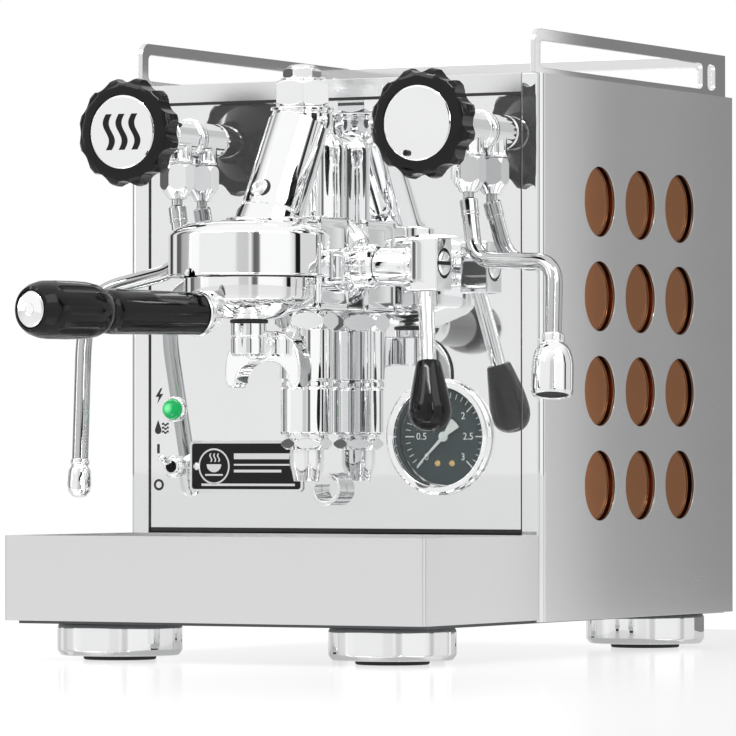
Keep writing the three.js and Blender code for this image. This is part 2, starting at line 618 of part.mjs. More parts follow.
function handle() {
  const { start, neck, end, thin, fat } = HANDLE;
  const profile = [
    [0, start], [thin, start], [thin + 0.8, neck - 6], [thin - 1.4, neck], [thin + 1, neck + 4],
    [fat - 1.2, neck + 12], [fat, neck + 24], [fat, end - 14], [fat - 1.8, end - 5],
    [fat - 5.5, end - 0.8], [10.6, end - 0.8], [10.6, end - 3.5], [0, end - 3.5],
  ];
  const grip = turned(profile, 24).rotateX(Math.PI / 2).translate(0, 0, FILTER.handleZ);
  return toSolid(turnedWithHandle(grip));
}

function endCap() {
  const { end } = HANDLE;
  const disc = turned([[0, end - 3.2], [10, end - 3.2], [10, end - 0.4], [8.6, end + 0.3], [0, end + 0.6]], 18);
  return toSolid(turnedWithHandle(disc.rotateX(Math.PI / 2).translate(0, 0, FILTER.handleZ)));
}

// Two arms leave the hub away from the handle and part to either side of it.
function spout() {
  const { hubRadius, hubBottom, rake, spread, tip, radius } = SPOUT;
  const hub = upright(0, BELL.y, hubBottom, FILTER.bottom - GAP, hubRadius);
  const turn = degrees(FILTER.turn);
  const at = (back, across, z) => [
    across * Math.cos(turn) - back * Math.sin(turn), BELL.y + across * Math.sin(turn) + back * Math.cos(turn), z,
  ];
  const arm = (side) => {
    const corners = [at(1, 0, 181), at(rake * 0.75, side * spread * 0.6, 180), at(rake, side * spread, tip)];
    return tube(bentPath(corners, 12), radius, 10, 8);
  };
  return union(hub, arm(-1), arm(1));
}

function filterBasket() {
  const { rim, bottom, bore } = FILTER;
  const r = bore - 0.6;
  return turnedUpright(0, BELL.y, [
    [0, bottom + 14], [r - 3, bottom + 14], [r, bottom + 17], [r, rim + GAP], [r + 4, rim + GAP],
    [r + 4, rim + 1.3], [r - 1.2, rim + 1.3], [r - 1.2, bottom + 17.5], [r - 3.4, bottom + 15.2],
    [0, bottom + 15.2],
  ], 24);
}

const GASKET_BOTTOM = FILTER.rim + 1.3 + GAP;
const GASKET_TOP = BELL.ceiling - GAP;
piece('portafilter', portafilter(), CHROME);
piece('portafilter_handle', handle(), BLACK_PLASTIC);
piece('handle_end_cap', endCap(), CHROME);
piece('portafilter_spout', spout(), CHROME);
piece('filter_basket', filterBasket(), MIRROR_STEEL);
piece('group_gasket', turnedUpright(0, BELL.y, [
  [30, GASKET_BOTTOM], [36.5, GASKET_BOTTOM], [36.5, GASKET_TOP], [30, GASKET_TOP], [30, GASKET_BOTTOM],
], 24), RUBBER);
piece('shower_screen', upright(0, BELL.y, GASKET_BOTTOM + 1.5, GASKET_TOP, 28.5, 28.5, 24), MIRROR_STEEL);

// ---- front-panel fittings --------------------------------------------------------------
function gaugeCase() {
  const { x, z, radius: r, face, pocket, floor, barrel } = GAUGE;
  const back = PANEL.front - GAP;
  return turnedAlongY(x, z, [
    [0, 26], [barrel, 26], [barrel, back], [r, back], [r, face + 1.2], [r - 1.2, face], [pocket + 0.5, face],
    [pocket, face + 0.5], [pocket, floor], [0, floor],
  ], 28);
}

function gaugeNeedle() {
  const outline = new THREE.Shape();
  outline.moveTo(-9, -1.3);
  outline.lineTo(-3, -0.8);
  outline.absarc(0, 0, 2.6, degrees(200), degrees(340), false);
  outline.lineTo(20, -0.35);
  outline.lineTo(20, 0.35);
  outline.absarc(0, 0, 2.6, degrees(20), degrees(160), false);
  outline.lineTo(-9, 1.3);
  const blade = new THREE.ExtrudeGeometry(outline, { depth: 0.8, bevelEnabled: false, curveSegments: 5 });
  blade.rotateZ(degrees(GAUGE_ZERO)).rotateX(Math.PI / 2);
  return toSolid(blade.translate(GAUGE.x, GAUGE.floor - 2.8, GAUGE.z));
}

const GAUGE_ZERO = 225; // the needle's direction at no pressure, degrees from +X towards +Z
const dialDisc = (y0, y1) => alongY(GAUGE.x, GAUGE.z, y0, y1, GAUGE.pocket - 0.6, GAUGE.pocket - 0.6, 28);
piece('gauge_case', gaugeCase(), CHROME);
piece('gauge_dial', dialDisc(GAUGE.floor - 1.2, GAUGE.floor - GAP), DIAL_GREEN);
piece('gauge_needle', gaugeNeedle(), PALE_PAINT);
piece('gauge_glass', dialDisc(GAUGE.face + 1, GAUGE.face + 2.2), CLEAR_GLASS);

function pilotLamp() {
  const { x, z, radius: r } = LAMP;
  const back = PANEL.front - GAP;
  const profile = [[0, 14], [5, 14], [5, back], [r + 1, back], [r + 1, -1], [r, -1.8]];
  for (let i = 1; i <= 4; i += 1) {
    const angle = degrees(22.5 * i);
    profile.push([r * Math.cos(angle), -1.8 - 5.5 * Math.sin(angle)]);
  }
  profile[profile.length - 1][0] = 0;
  return turnedAlongY(x, z, profile, 18);
}

function toggleBody() {
  const { x, z, nutRadius, bore } = TOGGLE;
  const nut = alongY(x, z, -3, PANEL.front - GAP, nutRadius);
  const bush = alongY(x, z, -4.5, 14, 5);
  const block = box(x - 7, x + 7, 13, 34, z - 11, z + 11);
  return cut(union(nut, bush, block), alongY(x, z, -6, 4, bore));
}

function toggleLever() {
  const { x, z, tilt, length } = TOGGLE;
  const direction = [0, -Math.cos(degrees(tilt)), Math.sin(degrees(tilt))];
  const at = (distance) => [x, distance * direction[1], z + distance * direction[2]];
  return union(bar(at(-1.5), at(length), 1.4, 2.3, 16), bar(at(length - 0.2), at(length + 1.2), 2.3, 1.2, 16));
}

function drainSpout() {
  const { x, z, outer, inner, reach } = DRAIN;
  const outline = new THREE.Shape();
  outline.absarc(0, 0, outer, degrees(-200), degrees(80), false);
  outline.absarc(0, 0, inner, degrees(80), degrees(-200), true);
  const options = { depth: reach + PANEL.front - GAP, bevelEnabled: false, curveSegments: 14 };
  const lip = new THREE.ExtrudeGeometry(outline, options).rotateX(Math.PI / 2);
  return toSolid(lip.translate(x, PANEL.front - GAP, z));
}

piece('pilot_lamp', pilotLamp(), GREEN_LENS);
piece('toggle_body', toggleBody(), CHROME);
piece('power_toggle', toggleLever(), CHROME);
piece('badge_plate', box(BADGE.x0, BADGE.x1, -0.5, PANEL.front - GAP, BADGE.z0, BADGE.z1), BLACK_PLASTIC);
piece('drain_spout', drainSpout(), MIRROR_STEEL);

// ---- inside the casing -----------------------------------------------------------------
function boiler() {
  const { x, z, radius: r, wall, y0, y1, port } = BOILER;
  return turnedAlongY(x, z, [
    [port, y0], [r - 8, y0], [r, y0 + 8], [r, y1 - 8], [r - 8, y1], [0, y1], [0, y1 - wall],
    [r - 9, y1 - wall], [r - wall, y1 - 9], [r - wall, y0 + 9], [r - 9, y0 + wall], [port, y0 + wall],
    [port, y0],
  ], 28);
}

// The water tank is a channel with a plate bonded into each of its ends.
function waterTank() {
  const { x0, x1, y0, y1, z0, z1, wall } = TANK;
  return cut(
    box(x0, x1, y0, y1, z0, z1),
    box(x0 + wall, x1 - wall, y0 - 1, y1 + 1, z0 + wall, z1 + 1),
  );
}

function tankEnd(y) {
  const { x0, x1, z0, z1, wall } = TANK;
  return box(x0 + wall + GAP, x1 - wall - GAP, y, y + wall, z0 + wall + GAP, z1);
}

function pump() {
  const [x, z] = [-60, 78];
  const coil = box(x - 24, x + 24, 110, 155, z - 22, z + 24);
  return union(coil, alongY(x, z, 90, 190, 13), alongY(x, z, 188, 205, 6));
}

function mainsInlet() {
  const { x, z, halfWidth: w, halfHeight: h, depth } = INLET;
  const face = BODY.depth + 1.5;
  const plate = box(x - w, x + w, BODY.depth - SHEET, face, z - h, z + h);
  const body = box(x - w + 4, x + w - 4, face - depth, face - 1, z - h + 4, z + h - 4);
  const socket = box(x - w + 7, x + w - 7, face - depth + 4, face + 1, z - h + 6, z + h - 6);
  const shell = cut(union(plate, body), socket);
  const pins = [-10, 0, 10].map((offset) => (
    box(x + offset - 1, x + offset + 1, face - depth + 3, face - 7, z - 3, z + 3)
  ));
  return union(shell, ...pins);
}

piece('boiler', boiler(), COPPER);
piece('water_tank', waterTank(), CLEAR_PLASTIC);
piece('tank_front_wall', tankEnd(TANK.y0), CLEAR_PLASTIC);
piece('tank_rear_wall', tankEnd(TANK.y1 - TANK.wall), CLEAR_PLASTIC);
piece('pump', pump(), BRASS);
piece('mains_inlet', mainsInlet(), BLACK_PLASTIC);

// The origin is the middle of the machine's box, at the floor.
const extent = new THREE.Box3().setFromObject(machine);
const middle = extent.getCenter(new THREE.Vector3());
machine.position.set(-middle.x, -middle.y, -extent.min.z);

export default machine;
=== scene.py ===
"""The looks of a lever espresso machine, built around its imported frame.

Sizes are in millimetres in the machine's own frame: x is 0 at the middle of the casing,
y is 0 at its front face and z is 0 on the worktop. Datum turns them into metres in the
row frame. Each sub-assembly is a class that models its pieces and dresses them.
"""

import logging
import math
from collections.abc import Callable, Sequence
from dataclasses import dataclass, field
from enum import Enum
from itertools import pairwise

import bpy
from mathutils import Matrix, Vector


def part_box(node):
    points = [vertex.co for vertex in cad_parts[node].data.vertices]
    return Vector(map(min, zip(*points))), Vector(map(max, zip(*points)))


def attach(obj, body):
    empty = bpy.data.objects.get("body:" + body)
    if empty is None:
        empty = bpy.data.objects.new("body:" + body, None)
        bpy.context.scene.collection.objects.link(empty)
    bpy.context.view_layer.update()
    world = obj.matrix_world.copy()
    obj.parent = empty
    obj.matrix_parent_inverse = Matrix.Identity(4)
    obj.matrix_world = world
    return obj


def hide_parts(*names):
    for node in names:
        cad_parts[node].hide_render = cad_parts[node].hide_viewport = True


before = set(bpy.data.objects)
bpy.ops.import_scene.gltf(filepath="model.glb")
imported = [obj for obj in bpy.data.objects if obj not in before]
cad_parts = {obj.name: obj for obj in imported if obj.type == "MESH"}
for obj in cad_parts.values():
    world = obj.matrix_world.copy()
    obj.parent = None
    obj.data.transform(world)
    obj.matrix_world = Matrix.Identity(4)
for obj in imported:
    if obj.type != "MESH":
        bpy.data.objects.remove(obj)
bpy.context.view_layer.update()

log = logging.getLogger("espresso_machine")

MM = 0.001
WELD = 0.000002  # metres within which doubled points are one
Point = Sequence[float]
Profile = Sequence[tuple[float, float]]
Piece = bpy.types.Object


class Side(Enum):
    """A side of the machine, seen from the front."""

    LEFT = -1
    RIGHT = 1

    @property
    def word(self) -> str:
        """The side's name as it stands in the names of pieces."""
        return self.name.lower()


class Cut(Enum):
    """What a cutter does to a piece."""

    REMOVE = "DIFFERENCE"
    KEEP = "INTERSECT"
    ADD = "UNION"


UP = Vector((0.0, 0.0, 1.0))
BACK = Vector((0.0, 1.0, 0.0))
RIGHT = Vector((1.0, 0.0, 0.0))


@dataclass(frozen=True)
class Spindle:
    """A turning axis, from a foot point along a direction, in machine millimetres."""

    foot: Vector
    along: Vector = field(default_factory=UP.copy)

    def at(self, radius: float, distance: float) -> Vector:
        """The point of a profile at a radius and a distance along the axis."""
        across = self.along.cross(BACK if abs(self.along.y) < 0.9 else UP).normalized()
        return self.foot + across * radius + self.along * distance


class Datum:
    """The casing's datum in the row frame, read from the side panels of the frame."""

    def __init__(self) -> None:
        """Find the middle of the casing and its front face."""
        left_low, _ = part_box("left_side_panel")
        _, right_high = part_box("right_side_panel")
        self.origin = Vector(((left_low.x + right_high.x) / 2, left_low.y, 0.0))

    def at(self, point: Point) -> Vector:
        """A point in machine millimetres, as a place in the row frame in metres."""
        return self.origin + Vector(point) * MM


# ---- finishes --------------------------------------------------------------------------


@dataclass(frozen=True)
class Finish:
    """A finish: one shader whose tone, roughness and relief wander with a fine grain."""

    name: str
    slot: str
    colour: tuple[float, float, float]
    metallic: float = 0.0
    roughness: float = 0.3
    spread: float = 0.04
    mottle: float = 0.04
    grain: float = 60.0
    stretch: tuple[float, float, float] = (1.0, 1.0, 1.0)
    relief: float = 0.02
    depth: float = 0.00005
    coat: float = 0.0
    specular: float = 0.5
    alpha: float = 1.0

    def material(self) -> bpy.types.Material:
        """Make the finish's material.

        Returns:
            The new material, with its pattern on the piece's own coordinates.
        """
        made = bpy.data.materials.new(self.name)
        made.use_nodes = True
        tree = made.node_tree
        shader = tree.nodes["Principled BSDF"]
        shader.inputs["Metallic"].default_value = self.metallic
        shader.inputs["Coat Weight"].default_value = self.coat
        shader.inputs["Coat Roughness"].default_value = 0.03
        shader.inputs["Specular IOR Level"].default_value = self.specular
        shader.inputs["Alpha"].default_value = self.alpha
        made.diffuse_color = (*self.colour, 1.0)
        grain = self._grain(tree)
        self._wander(tree, grain, self.roughness, self.spread, shader.inputs["Roughness"])
        self._tone(tree, grain, shader.inputs["Base Color"])
        bump = tree.nodes.new("ShaderNodeBump")
        bump.inputs["Strength"].default_value = self.relief
        bump.inputs["Distance"].default_value = self.depth
        tree.links.new(grain, bump.inputs["Height"])
        tree.links.new(bump.outputs["Normal"], shader.inputs["Normal"])
        self.extra(tree, shader)
        return made

    def _grain(self, tree: bpy.types.NodeTree) -> bpy.types.NodeSocket:
        """Add the grain pattern.

        Args:
            tree: the material's nodes.

        Returns:
            The socket that gives the grain, from 0 to 1.
        """
        place = tree.nodes.new("ShaderNodeTexCoord")
        mapping = tree.nodes.new("ShaderNodeMapping")
        mapping.inputs["Scale"].default_value = self.stretch
        noise = tree.nodes.new("ShaderNodeTexNoise")
        noise.inputs["Scale"].default_value = self.grain
        noise.inputs["Detail"].default_value = 4.0
        noise.inputs["Roughness"].default_value = 0.55
        tree.links.new(place.outputs["Object"], mapping.inputs["Vector"])
        tree.links.new(mapping.outputs["Vector"], noise.inputs["Vector"])
        return noise.outputs["Fac"]

    def _wander(
        self,
        tree: bpy.types.NodeTree,
        grain: bpy.types.NodeSocket,
        middle: float,
        spread: float,
        target: bpy.types.NodeSocket,
    ) -> None:
        """Let a value wander round its middle with the grain.

        Args:
            tree: the material's nodes.
            grain: the grain, from 0 to 1.
            middle: the value's middle.
            spread: how far it goes to either side.
            target: the shader's socket.
        """
        span = tree.nodes.new("ShaderNodeMapRange")
        span.inputs["From Min"].default_value = 0.3
        span.inputs["From Max"].default_value = 0.7
        span.inputs["To Min"].default_value = max(0.0, middle - spread)
        span.inputs["To Max"].default_value = middle + spread
        tree.links.new(grain, span.inputs["Value"])
        tree.links.new(span.outputs["Result"], target)

    def _tone(
        self,
        tree: bpy.types.NodeTree,
        grain: bpy.types.NodeSocket,
        target: bpy.types.NodeSocket,
    ) -> None:
        """Let the colour's tone wander with the grain.

        Args:
            tree: the material's nodes.
            grain: the grain, from 0 to 1.
            target: the shader's colour socket.
        """
        ramp = tree.nodes.new("ShaderNodeValToRGB")
        low, high = ramp.color_ramp.elements
        low.position, high.position = 0.3, 0.7
        low.color = (*(part * (1.0 - self.mottle) for part in self.colour), 1.0)
        high.color = (*(min(1.0, part * (1.0 + self.mottle)) for part in self.colour), 1.0)
        tree.links.new(grain, ramp.inputs["Fac"])
        tree.links.new(ramp.outputs["Color"], target)

    def extra(self, tree: bpy.types.NodeTree, shader: bpy.types.Node) -> None:
        """Nothing more for a plain finish."""


@dataclass(frozen=True)
class ClearFinish(Finish):
    """Clear glass or plastic: see-through, and glossy towards its edges."""

    edge: float = 0.35

    def extra(self, tree: bpy.types.NodeTree, shader: bpy.types.Node) -> None:
        """Make the finish more solid where it is seen at a slant.

        Args:
            tree: the material's nodes.
            shader: the finish's shader.
        """
        fresnel = tree.nodes.new("ShaderNodeLayerWeight")
        fresnel.inputs["Blend"].default_value = 0.15
        span = tree.nodes.new("ShaderNodeMapRange")
        span.inputs["To Min"].default_value = self.alpha
        span.inputs["To Max"].default_value = self.edge
        tree.links.new(fresnel.outputs["Fresnel"], span.inputs["Value"])
        tree.links.new(span.outputs["Result"], shader.inputs["Alpha"])


@dataclass(frozen=True)
class LampFinish(Finish):
    """A lit lens: its glow is strongest round its middle."""

    middle: Vector = field(default_factory=Vector)
    reach: float = 0.006
    core: tuple[float, float, float] = (0.55, 1.0, 0.6)
    glow: float = 1.0

    def extra(self, tree: bpy.types.NodeTree, shader: bpy.types.Node) -> None:
        """Light the lens from its middle outwards.

        Args:
            tree: the material's nodes.
            shader: the finish's shader.
        """
        place = tree.nodes.new("ShaderNodeTexCoord")
        gap = tree.nodes.new("ShaderNodeVectorMath")
        gap.operation = "DISTANCE"
        gap.inputs[1].default_value = self.middle
        ramp = tree.nodes.new("ShaderNodeValToRGB")
        low, high = ramp.color_ramp.elements
        low.color = (*self.core, 1.0)
        high.color = (*self.colour, 1.0)
        high.position = 0.8
        span = tree.nodes.new("ShaderNodeMapRange")
        span.inputs["From Max"].default_value = self.reach
        tree.links.new(place.outputs["Object"], gap.inputs[0])
        tree.links.new(gap.outputs["Value"], span.inputs["Value"])
        tree.links.new(span.outputs["Result"], ramp.inputs["Fac"])
        tree.links.new(ramp.outputs["Color"], shader.inputs["Emission Color"])
        shader.inputs["Emission Strength"].default_value = self.glow


MIRROR_STEEL = Finish(
    "mirror_polished_steel", "mirror_steel", (0.88, 0.884, 0.888), metallic=0.95,
    roughness=0.02, spread=0.012, mottle=0.01, grain=14.0, relief=0.006,
)
TRAY_STEEL = Finish(
    "tray_bright_steel", "side_steel", (0.79, 0.79, 0.79), metallic=1.0, roughness=0.16,
    spread=0.004, mottle=0.002, grain=12.0, stretch=(1.0, 1.0, 6.0), relief=0.0004,
)
RAIL_STEEL = Finish(
    "rail_bright_steel", "side_steel", (0.84, 0.84, 0.84), metallic=1.0, roughness=0.12,
    spread=0.01, mottle=0.006, grain=30.0, stretch=(1.0, 1.0, 18.0), relief=0.002,
)
SIDE_STEEL = Finish(
    "side_satin_steel", "side_steel", (0.92, 0.92, 0.923), metallic=1.0, roughness=0.27,
    spread=0.004, mottle=0.002, grain=12.0, stretch=(1.0, 1.0, 6.0), relief=0.0004,
)
DECK_STEEL = Finish(
    "deck_satin_steel", "mirror_steel", (0.86, 0.863, 0.867), metallic=1.0, roughness=0.24,
    spread=0.012, mottle=0.006, grain=24.0, stretch=(18.0, 1.0, 1.0), relief=0.004,
)
WAND_STEEL_AND_PAINTED_SHADE = Finish(
    "polished_wand_steel", "chrome", (0.57, 0.573, 0.577), metallic=1.0, roughness=0.07,
    spread=0.02, mottle=0.02, grain=60.0, relief=0.01, depth=0.00003,
)
CHROME = Finish(
    "bright_chrome", "chrome", (0.95, 0.953, 0.957), metallic=1.0, roughness=0.015,
    spread=0.01, mottle=0.01, grain=40.0, relief=0.01, depth=0.00003,
)
COPPER = Finish(
    "brushed_copper", "copper", (0.72, 0.3, 0.125), metallic=1.0, roughness=0.14,
    spread=0.01, mottle=0.01, grain=20.0, stretch=(1.0, 1.0, 6.0), relief=0.002,
)
BLACK_PLASTIC = Finish(
    "glossy_black_plastic", "black_plastic", (0.003, 0.003, 0.0033), roughness=0.1,
    spread=0.02, mottle=0.05, grain=90.0, relief=0.003, specular=0.3,
)
RUBBER_AND_PAINTED_SHADE = Finish(
    "black_rubber_and_painted_shade", "rubber", (0.018, 0.018, 0.019), roughness=0.72, spread=0.08,
    mottle=0.2, grain=900.0, relief=0.25, depth=0.0001,
)
DIAL_PAINT = Finish(
    "slate_dial_paint", "dial_paint", (0.024, 0.042, 0.045), roughness=0.5,
    spread=0.05, mottle=0.08, grain=500.0, relief=0.05, specular=0.1,
)
PALE_PAINT = Finish(
    "pale_needle_paint", "needle_paint", (0.68, 0.74, 0.71), roughness=0.45,
    spread=0.05, mottle=0.03, grain=400.0, relief=0.03,
)
GLASS = ClearFinish(
    "gauge_glass", "clear_glass", (0.95, 0.97, 0.97), roughness=0.02, spread=0.01,
    mottle=0.01, grain=20.0, relief=0.004, alpha=0.03, specular=0.15,
)
GREY_PAINT = Finish(
    "grey_chassis_paint", "grey_paint", (0.07, 0.075, 0.08), roughness=0.55, spread=0.08,
    mottle=0.1, grain=600.0, relief=0.12, depth=0.0001,
)
TANK_PLASTIC = ClearFinish(
    "clear_tank_plastic", "tank_plastic", (0.8, 0.86, 0.9), roughness=0.12, spread=0.05,
    mottle=0.04, grain=25.0, relief=0.05, alpha=0.35, edge=0.9,
)
BRASS = Finish(
    "turned_brass", "pump_brass", (0.72, 0.5, 0.2), metallic=1.0, roughness=0.22,
    spread=0.06, mottle=0.06, grain=120.0, relief=0.05,
)


class Palette:
    """The finishes' materials, each made once, when first asked for."""

    def __init__(self) -> None:
        """Start with nothing made."""
        self._made: dict[str, bpy.types.Material] = {}

    def material(self, finish: Finish) -> bpy.types.Material:
        """The material of a finish.

        Args:
            finish: the finish.

        Returns:
            Its material.
        """
        if finish.name not in self._made:
            self._made[finish.name] = finish.material()
        return self._made[finish.name]


# ---- the bench -------------------------------------------------------------------------


class Bench:
    """Modelling tools that work in machine millimetres.

    A tool starts from a primitive at its place, and leaves an object at the origin,
    unturned and unscaled, with its place in its mesh.
    """

    def __init__(self, datum: Datum, palette: Palette) -> None:
        """Set up the bench.

        Args:
            datum: the casing's datum.
            palette: the finishes' materials.
        """
        self.datum = datum
        self.palette = palette

    def _take(self, name: str) -> Piece:
        """Name the new primitive and put its place into its mesh.

        Args:
            name: the piece's name.

        Returns:
            The piece.
        """
        piece = bpy.context.active_object
        piece.name = name
        piece.data.name = name
        bpy.ops.object.transform_apply(location=True, rotation=True, scale=True)
        return piece

    def hold(self, *pieces: Piece) -> None:
        """Select these pieces alone, the first one active."""
        bpy.ops.object.select_all(action="DESELECT")
        for piece in pieces:
            piece.select_set(True)
        bpy.context.view_layer.objects.active = pieces[0]

    def wire(self, name: str, points: Sequence[Vector]) -> Piece:
        """Draw a wire by extruding one point from place to place.

        Args:
            name: the piece's name.
            points: the wire's points, in machine millimetres.

        Returns:
            The wire, left in edit mode with its last point selected.
        """
        places = [self.datum.at(point) for point in points]
        bpy.ops.object.select_all(action="DESELECT")
        bpy.ops.mesh.primitive_plane_add(size=MM, location=places[0])
        piece = self._take(name)
        bpy.ops.object.mode_set(mode="EDIT")
        bpy.ops.mesh.select_mode(type="VERT")
        bpy.ops.mesh.select_all(action="SELECT")
        bpy.ops.mesh.merge(type="CENTER")
        for here, there in pairwise(places):
            bpy.ops.mesh.extrude_vertices_move(TRANSFORM_OT_translate={"value": there - here})
        return piece

    def lathe(
        self, name: str, spindle: Spindle, profile: Profile, rim: float = 0.0, steps: int = 64
    ) -> Piece:
        """Turn a profile round a spindle.

        Args:
            name: the piece's name.
            spindle: the turning axis.
            profile: radius and distance pairs, from the axis back to it or to its start.
            rim: how far the sharp edges are rounded over.
            steps: how many steps make the full turn.

        Returns:
            The turned piece.
        """
        piece = self.wire(name, [spindle.at(radius, distance) for radius, distance in profile])
        bpy.ops.mesh.select_all(action="SELECT")
        centre = self.datum.at(spindle.foot)
        bpy.ops.mesh.spin(steps=steps, angle=math.tau, center=centre, axis=spindle.along)
        self._tidy_skin()
        return self.soften(piece, rim)

    def _tidy_skin(self) -> None:
        """Weld a turned skin's seam, point its faces outwards and leave edit mode."""
        bpy.ops.mesh.select_all(action="SELECT")
        bpy.ops.mesh.remove_doubles(threshold=WELD)
        bpy.ops.mesh.select_all(action="SELECT")
        bpy.ops.mesh.normals_make_consistent(inside=False)
        bpy.ops.object.mode_set(mode="OBJECT")

    def slab(self, name: str, outline: Sequence[Vector], thickness: Vector, rim: float = 0.0) -> Piece:
        """Fill an outline and give it thickness.

        Args:
            name: the piece's name.
            outline: its corners in order, without the first one again.
            thickness: how far and which way the face is pushed out.
            rim: how far the sharp edges are rounded over.

        Returns:
            The flat piece.
        """
        piece = self.wire(name, outline)
        bpy.ops.mesh.select_all(action="SELECT")
        bpy.ops.mesh.edge_face_add()
        bpy.ops.mesh.extrude_region_move(TRANSFORM_OT_translate={"value": thickness * MM})
        self._tidy_skin()
        return self.soften(piece, rim)

    def brick(self, name: str, low: Point, high: Point, rim: float = 0.4) -> Piece:
        """Make a rectangular piece with softened edges.

        Args:
            name: the piece's name.
            low: its lowest corner.
            high: its highest corner.
            rim: how far the edges are rounded over.

        Returns:
            The piece.
        """
        low_at, high_at = self.datum.at(low), self.datum.at(high)
        bpy.ops.object.select_all(action="DESELECT")
        bpy.ops.mesh.primitive_cube_add(
            size=1.0, location=(low_at + high_at) / 2, scale=high_at - low_at
        )
        return self.soften(self._take(name), rim)

    def rod(
        self,
        name: str,
        start: Point,
        end: Point,
        radius: float,
        end_radius: float | None = None,
        sides: int = 48,
        turn: float = 0.0,
    ) -> Piece:
        """Make a straight bar between two points.

        Args:
            name: the piece's name.
            start: its first end.
            end: its other end.
            radius: its radius at the start.
            end_radius: its radius at the end, if that is another.
            sides: how many sides it has.
            turn: how far it is turned about its own line, in degrees.

        Returns:
            The bar.
        """
        here, there = self.datum.at(start), self.datum.at(end)
        line = there - here
        turned = line.to_track_quat("Z", "Y") @ Matrix.Rotation(
            math.radians(turn), 3, "Z"
        ).to_quaternion()
        bpy.ops.object.select_all(action="DESELECT")
        bpy.ops.mesh.primitive_cone_add(
            vertices=sides,
            radius1=radius * MM,
            radius2=(radius if end_radius is None else end_radius) * MM,
            depth=line.length,
            location=(here + there) / 2,
            rotation=turned.to_euler(),
        )
        return self._take(name)

    def nut(
        self,
        name: str,
        spindle: Spindle,
        start: float,
        end: float,
        corner: float,
        chamfer: float = 1.4,
        turn: float = 0.0,
    ) -> Piece:
        """Make a six-sided nut whose corners are turned down at both ends.

        Args:
            name: the piece's name.
            spindle: its axis.
            start: where it starts along the axis.
            end: where it ends.
            corner: its radius to the corners.
            chamfer: how far along the axis the corners are turned down.
            turn: how far it is turned about its axis, in degrees.

        Returns:
            The nut.
        """
        bar = self.rod(name, spindle.at(0, start), spindle.at(0, end), corner, sides=6, turn=turn)
        flat = corner * math.cos(math.pi / 6) * 0.96
        blank = self.lathe("nut_blank", spindle, [
            (0, start), (flat, start), (corner * 1.01, start + chamfer),
            (corner * 1.01, end - chamfer), (flat, end), (0, end),
        ])
        return self.soften(self.carve(bar, blank, Cut.KEEP), 0.18)

    def pipe(
        self, name: str, corners: Sequence[Point], bend: float, radius: float, ends: float = 0.5
    ) -> Piece:
        """Bend a round pipe along straight runs joined by smooth bends.

        Args:
            name: the piece's name.
            corners: the corners of its route.
            bend: how far from a corner its bend starts.
            radius: the pipe's radius.
            ends: how far its end edges are rounded over.

        Returns:
            The pipe.
        """
        route = rounded_route([Vector(corner) for corner in corners], bend)
        bpy.ops.object.select_all(action="DESELECT")
        bpy.ops.curve.primitive_nurbs_path_add()
        curve = bpy.context.active_object
        curve.data.splines.clear()
        line = curve.data.splines.new("POLY")
        line.points.add(len(route) - 1)
        for knot, place in zip(line.points, route):
            knot.co = (*self.datum.at(place), 1.0)
        curve.data.dimensions = "3D"
        curve.data.bevel_depth = radius * MM
        curve.data.bevel_resolution = 10
        curve.data.use_fill_caps = True
        bpy.ops.object.convert(target="MESH")
        piece = self._take(name)
        bpy.ops.object.mode_set(mode="EDIT")
        self._tidy_skin()
        return self.soften(piece, ends, angle=60.0)

    def writing(self, name: str, words: str, middle: Point, height: float, raised: float) -> Piece:
        """Write generic characters on a face that looks to the front.

        Args:
            name: the piece's name.
            words: the characters.
            middle: the middle of the writing, on the face.
            height: the height of a capital.
            raised: how far the characters stand out.

        Returns:
            The writing as a mesh.
        """
        bpy.ops.object.select_all(action="DESELECT")
        bpy.ops.object.text_add()
        text = bpy.context.active_object
        text.data.body = words
        text.data.align_x, text.data.align_y = "CENTER", "CENTER"
        text.data.size = height * 1.4 * MM
        text.data.extrude = raised * MM / 2
        text.data.resolution_u = 4
        bpy.ops.object.convert(target="MESH")
        text = bpy.context.active_object
        text.location = self.datum.at(middle)
        text.rotation_euler = (math.radians(90), 0.0, 0.0)
        return self._take(name)

    def soften(self, piece: Piece, width: float, angle: float = 28.0, segments: int = 3) -> Piece:
        """Round over a piece's sharp edges.

        Args:
            piece: the piece.
            width: how wide the rounding is, or 0 for none.
            angle: the sharpest bend that is left as it is, in degrees.
            segments: how many facets make the rounding.

        Returns:
            The same piece.
        """
        if width <= 0:
            return piece
        self.hold(piece)
        edge = piece.modifiers.new("softened_edge", "BEVEL")
        edge.width = width * MM
        edge.segments = segments
        edge.limit_method = "ANGLE"
        edge.angle_limit = math.radians(angle)
        bpy.ops.object.modifier_apply(modifier=edge.name)
        return piece

    def carve(self, piece: Piece, cutter: Piece, cut: Cut = Cut.REMOVE) -> Piece:
        """Shape a piece with a cutter, which is used up.

        Args:
            piece: the piece.
            cutter: the cutter.
            cut: what the cutter does.

        Returns:
            The same piece.
        """
        self.hold(piece)
        tool = piece.modifiers.new("cutter", "BOOLEAN")
        tool.operation = cut.value
        tool.object = cutter
        tool.solver = "EXACT"
        bpy.ops.object.modifier_apply(modifier=tool.name)
        bpy.data.objects.remove(cutter)
        return piece

    def weld(self, piece: Piece, *others: Piece) -> Piece:
        """Make several pieces one object.

        Args:
            piece: the piece that keeps its name.
            others: the pieces that become part of it.

        Returns:
            The first piece.
        """
        self.hold(piece, *others)
        bpy.ops.object.join()
        return piece

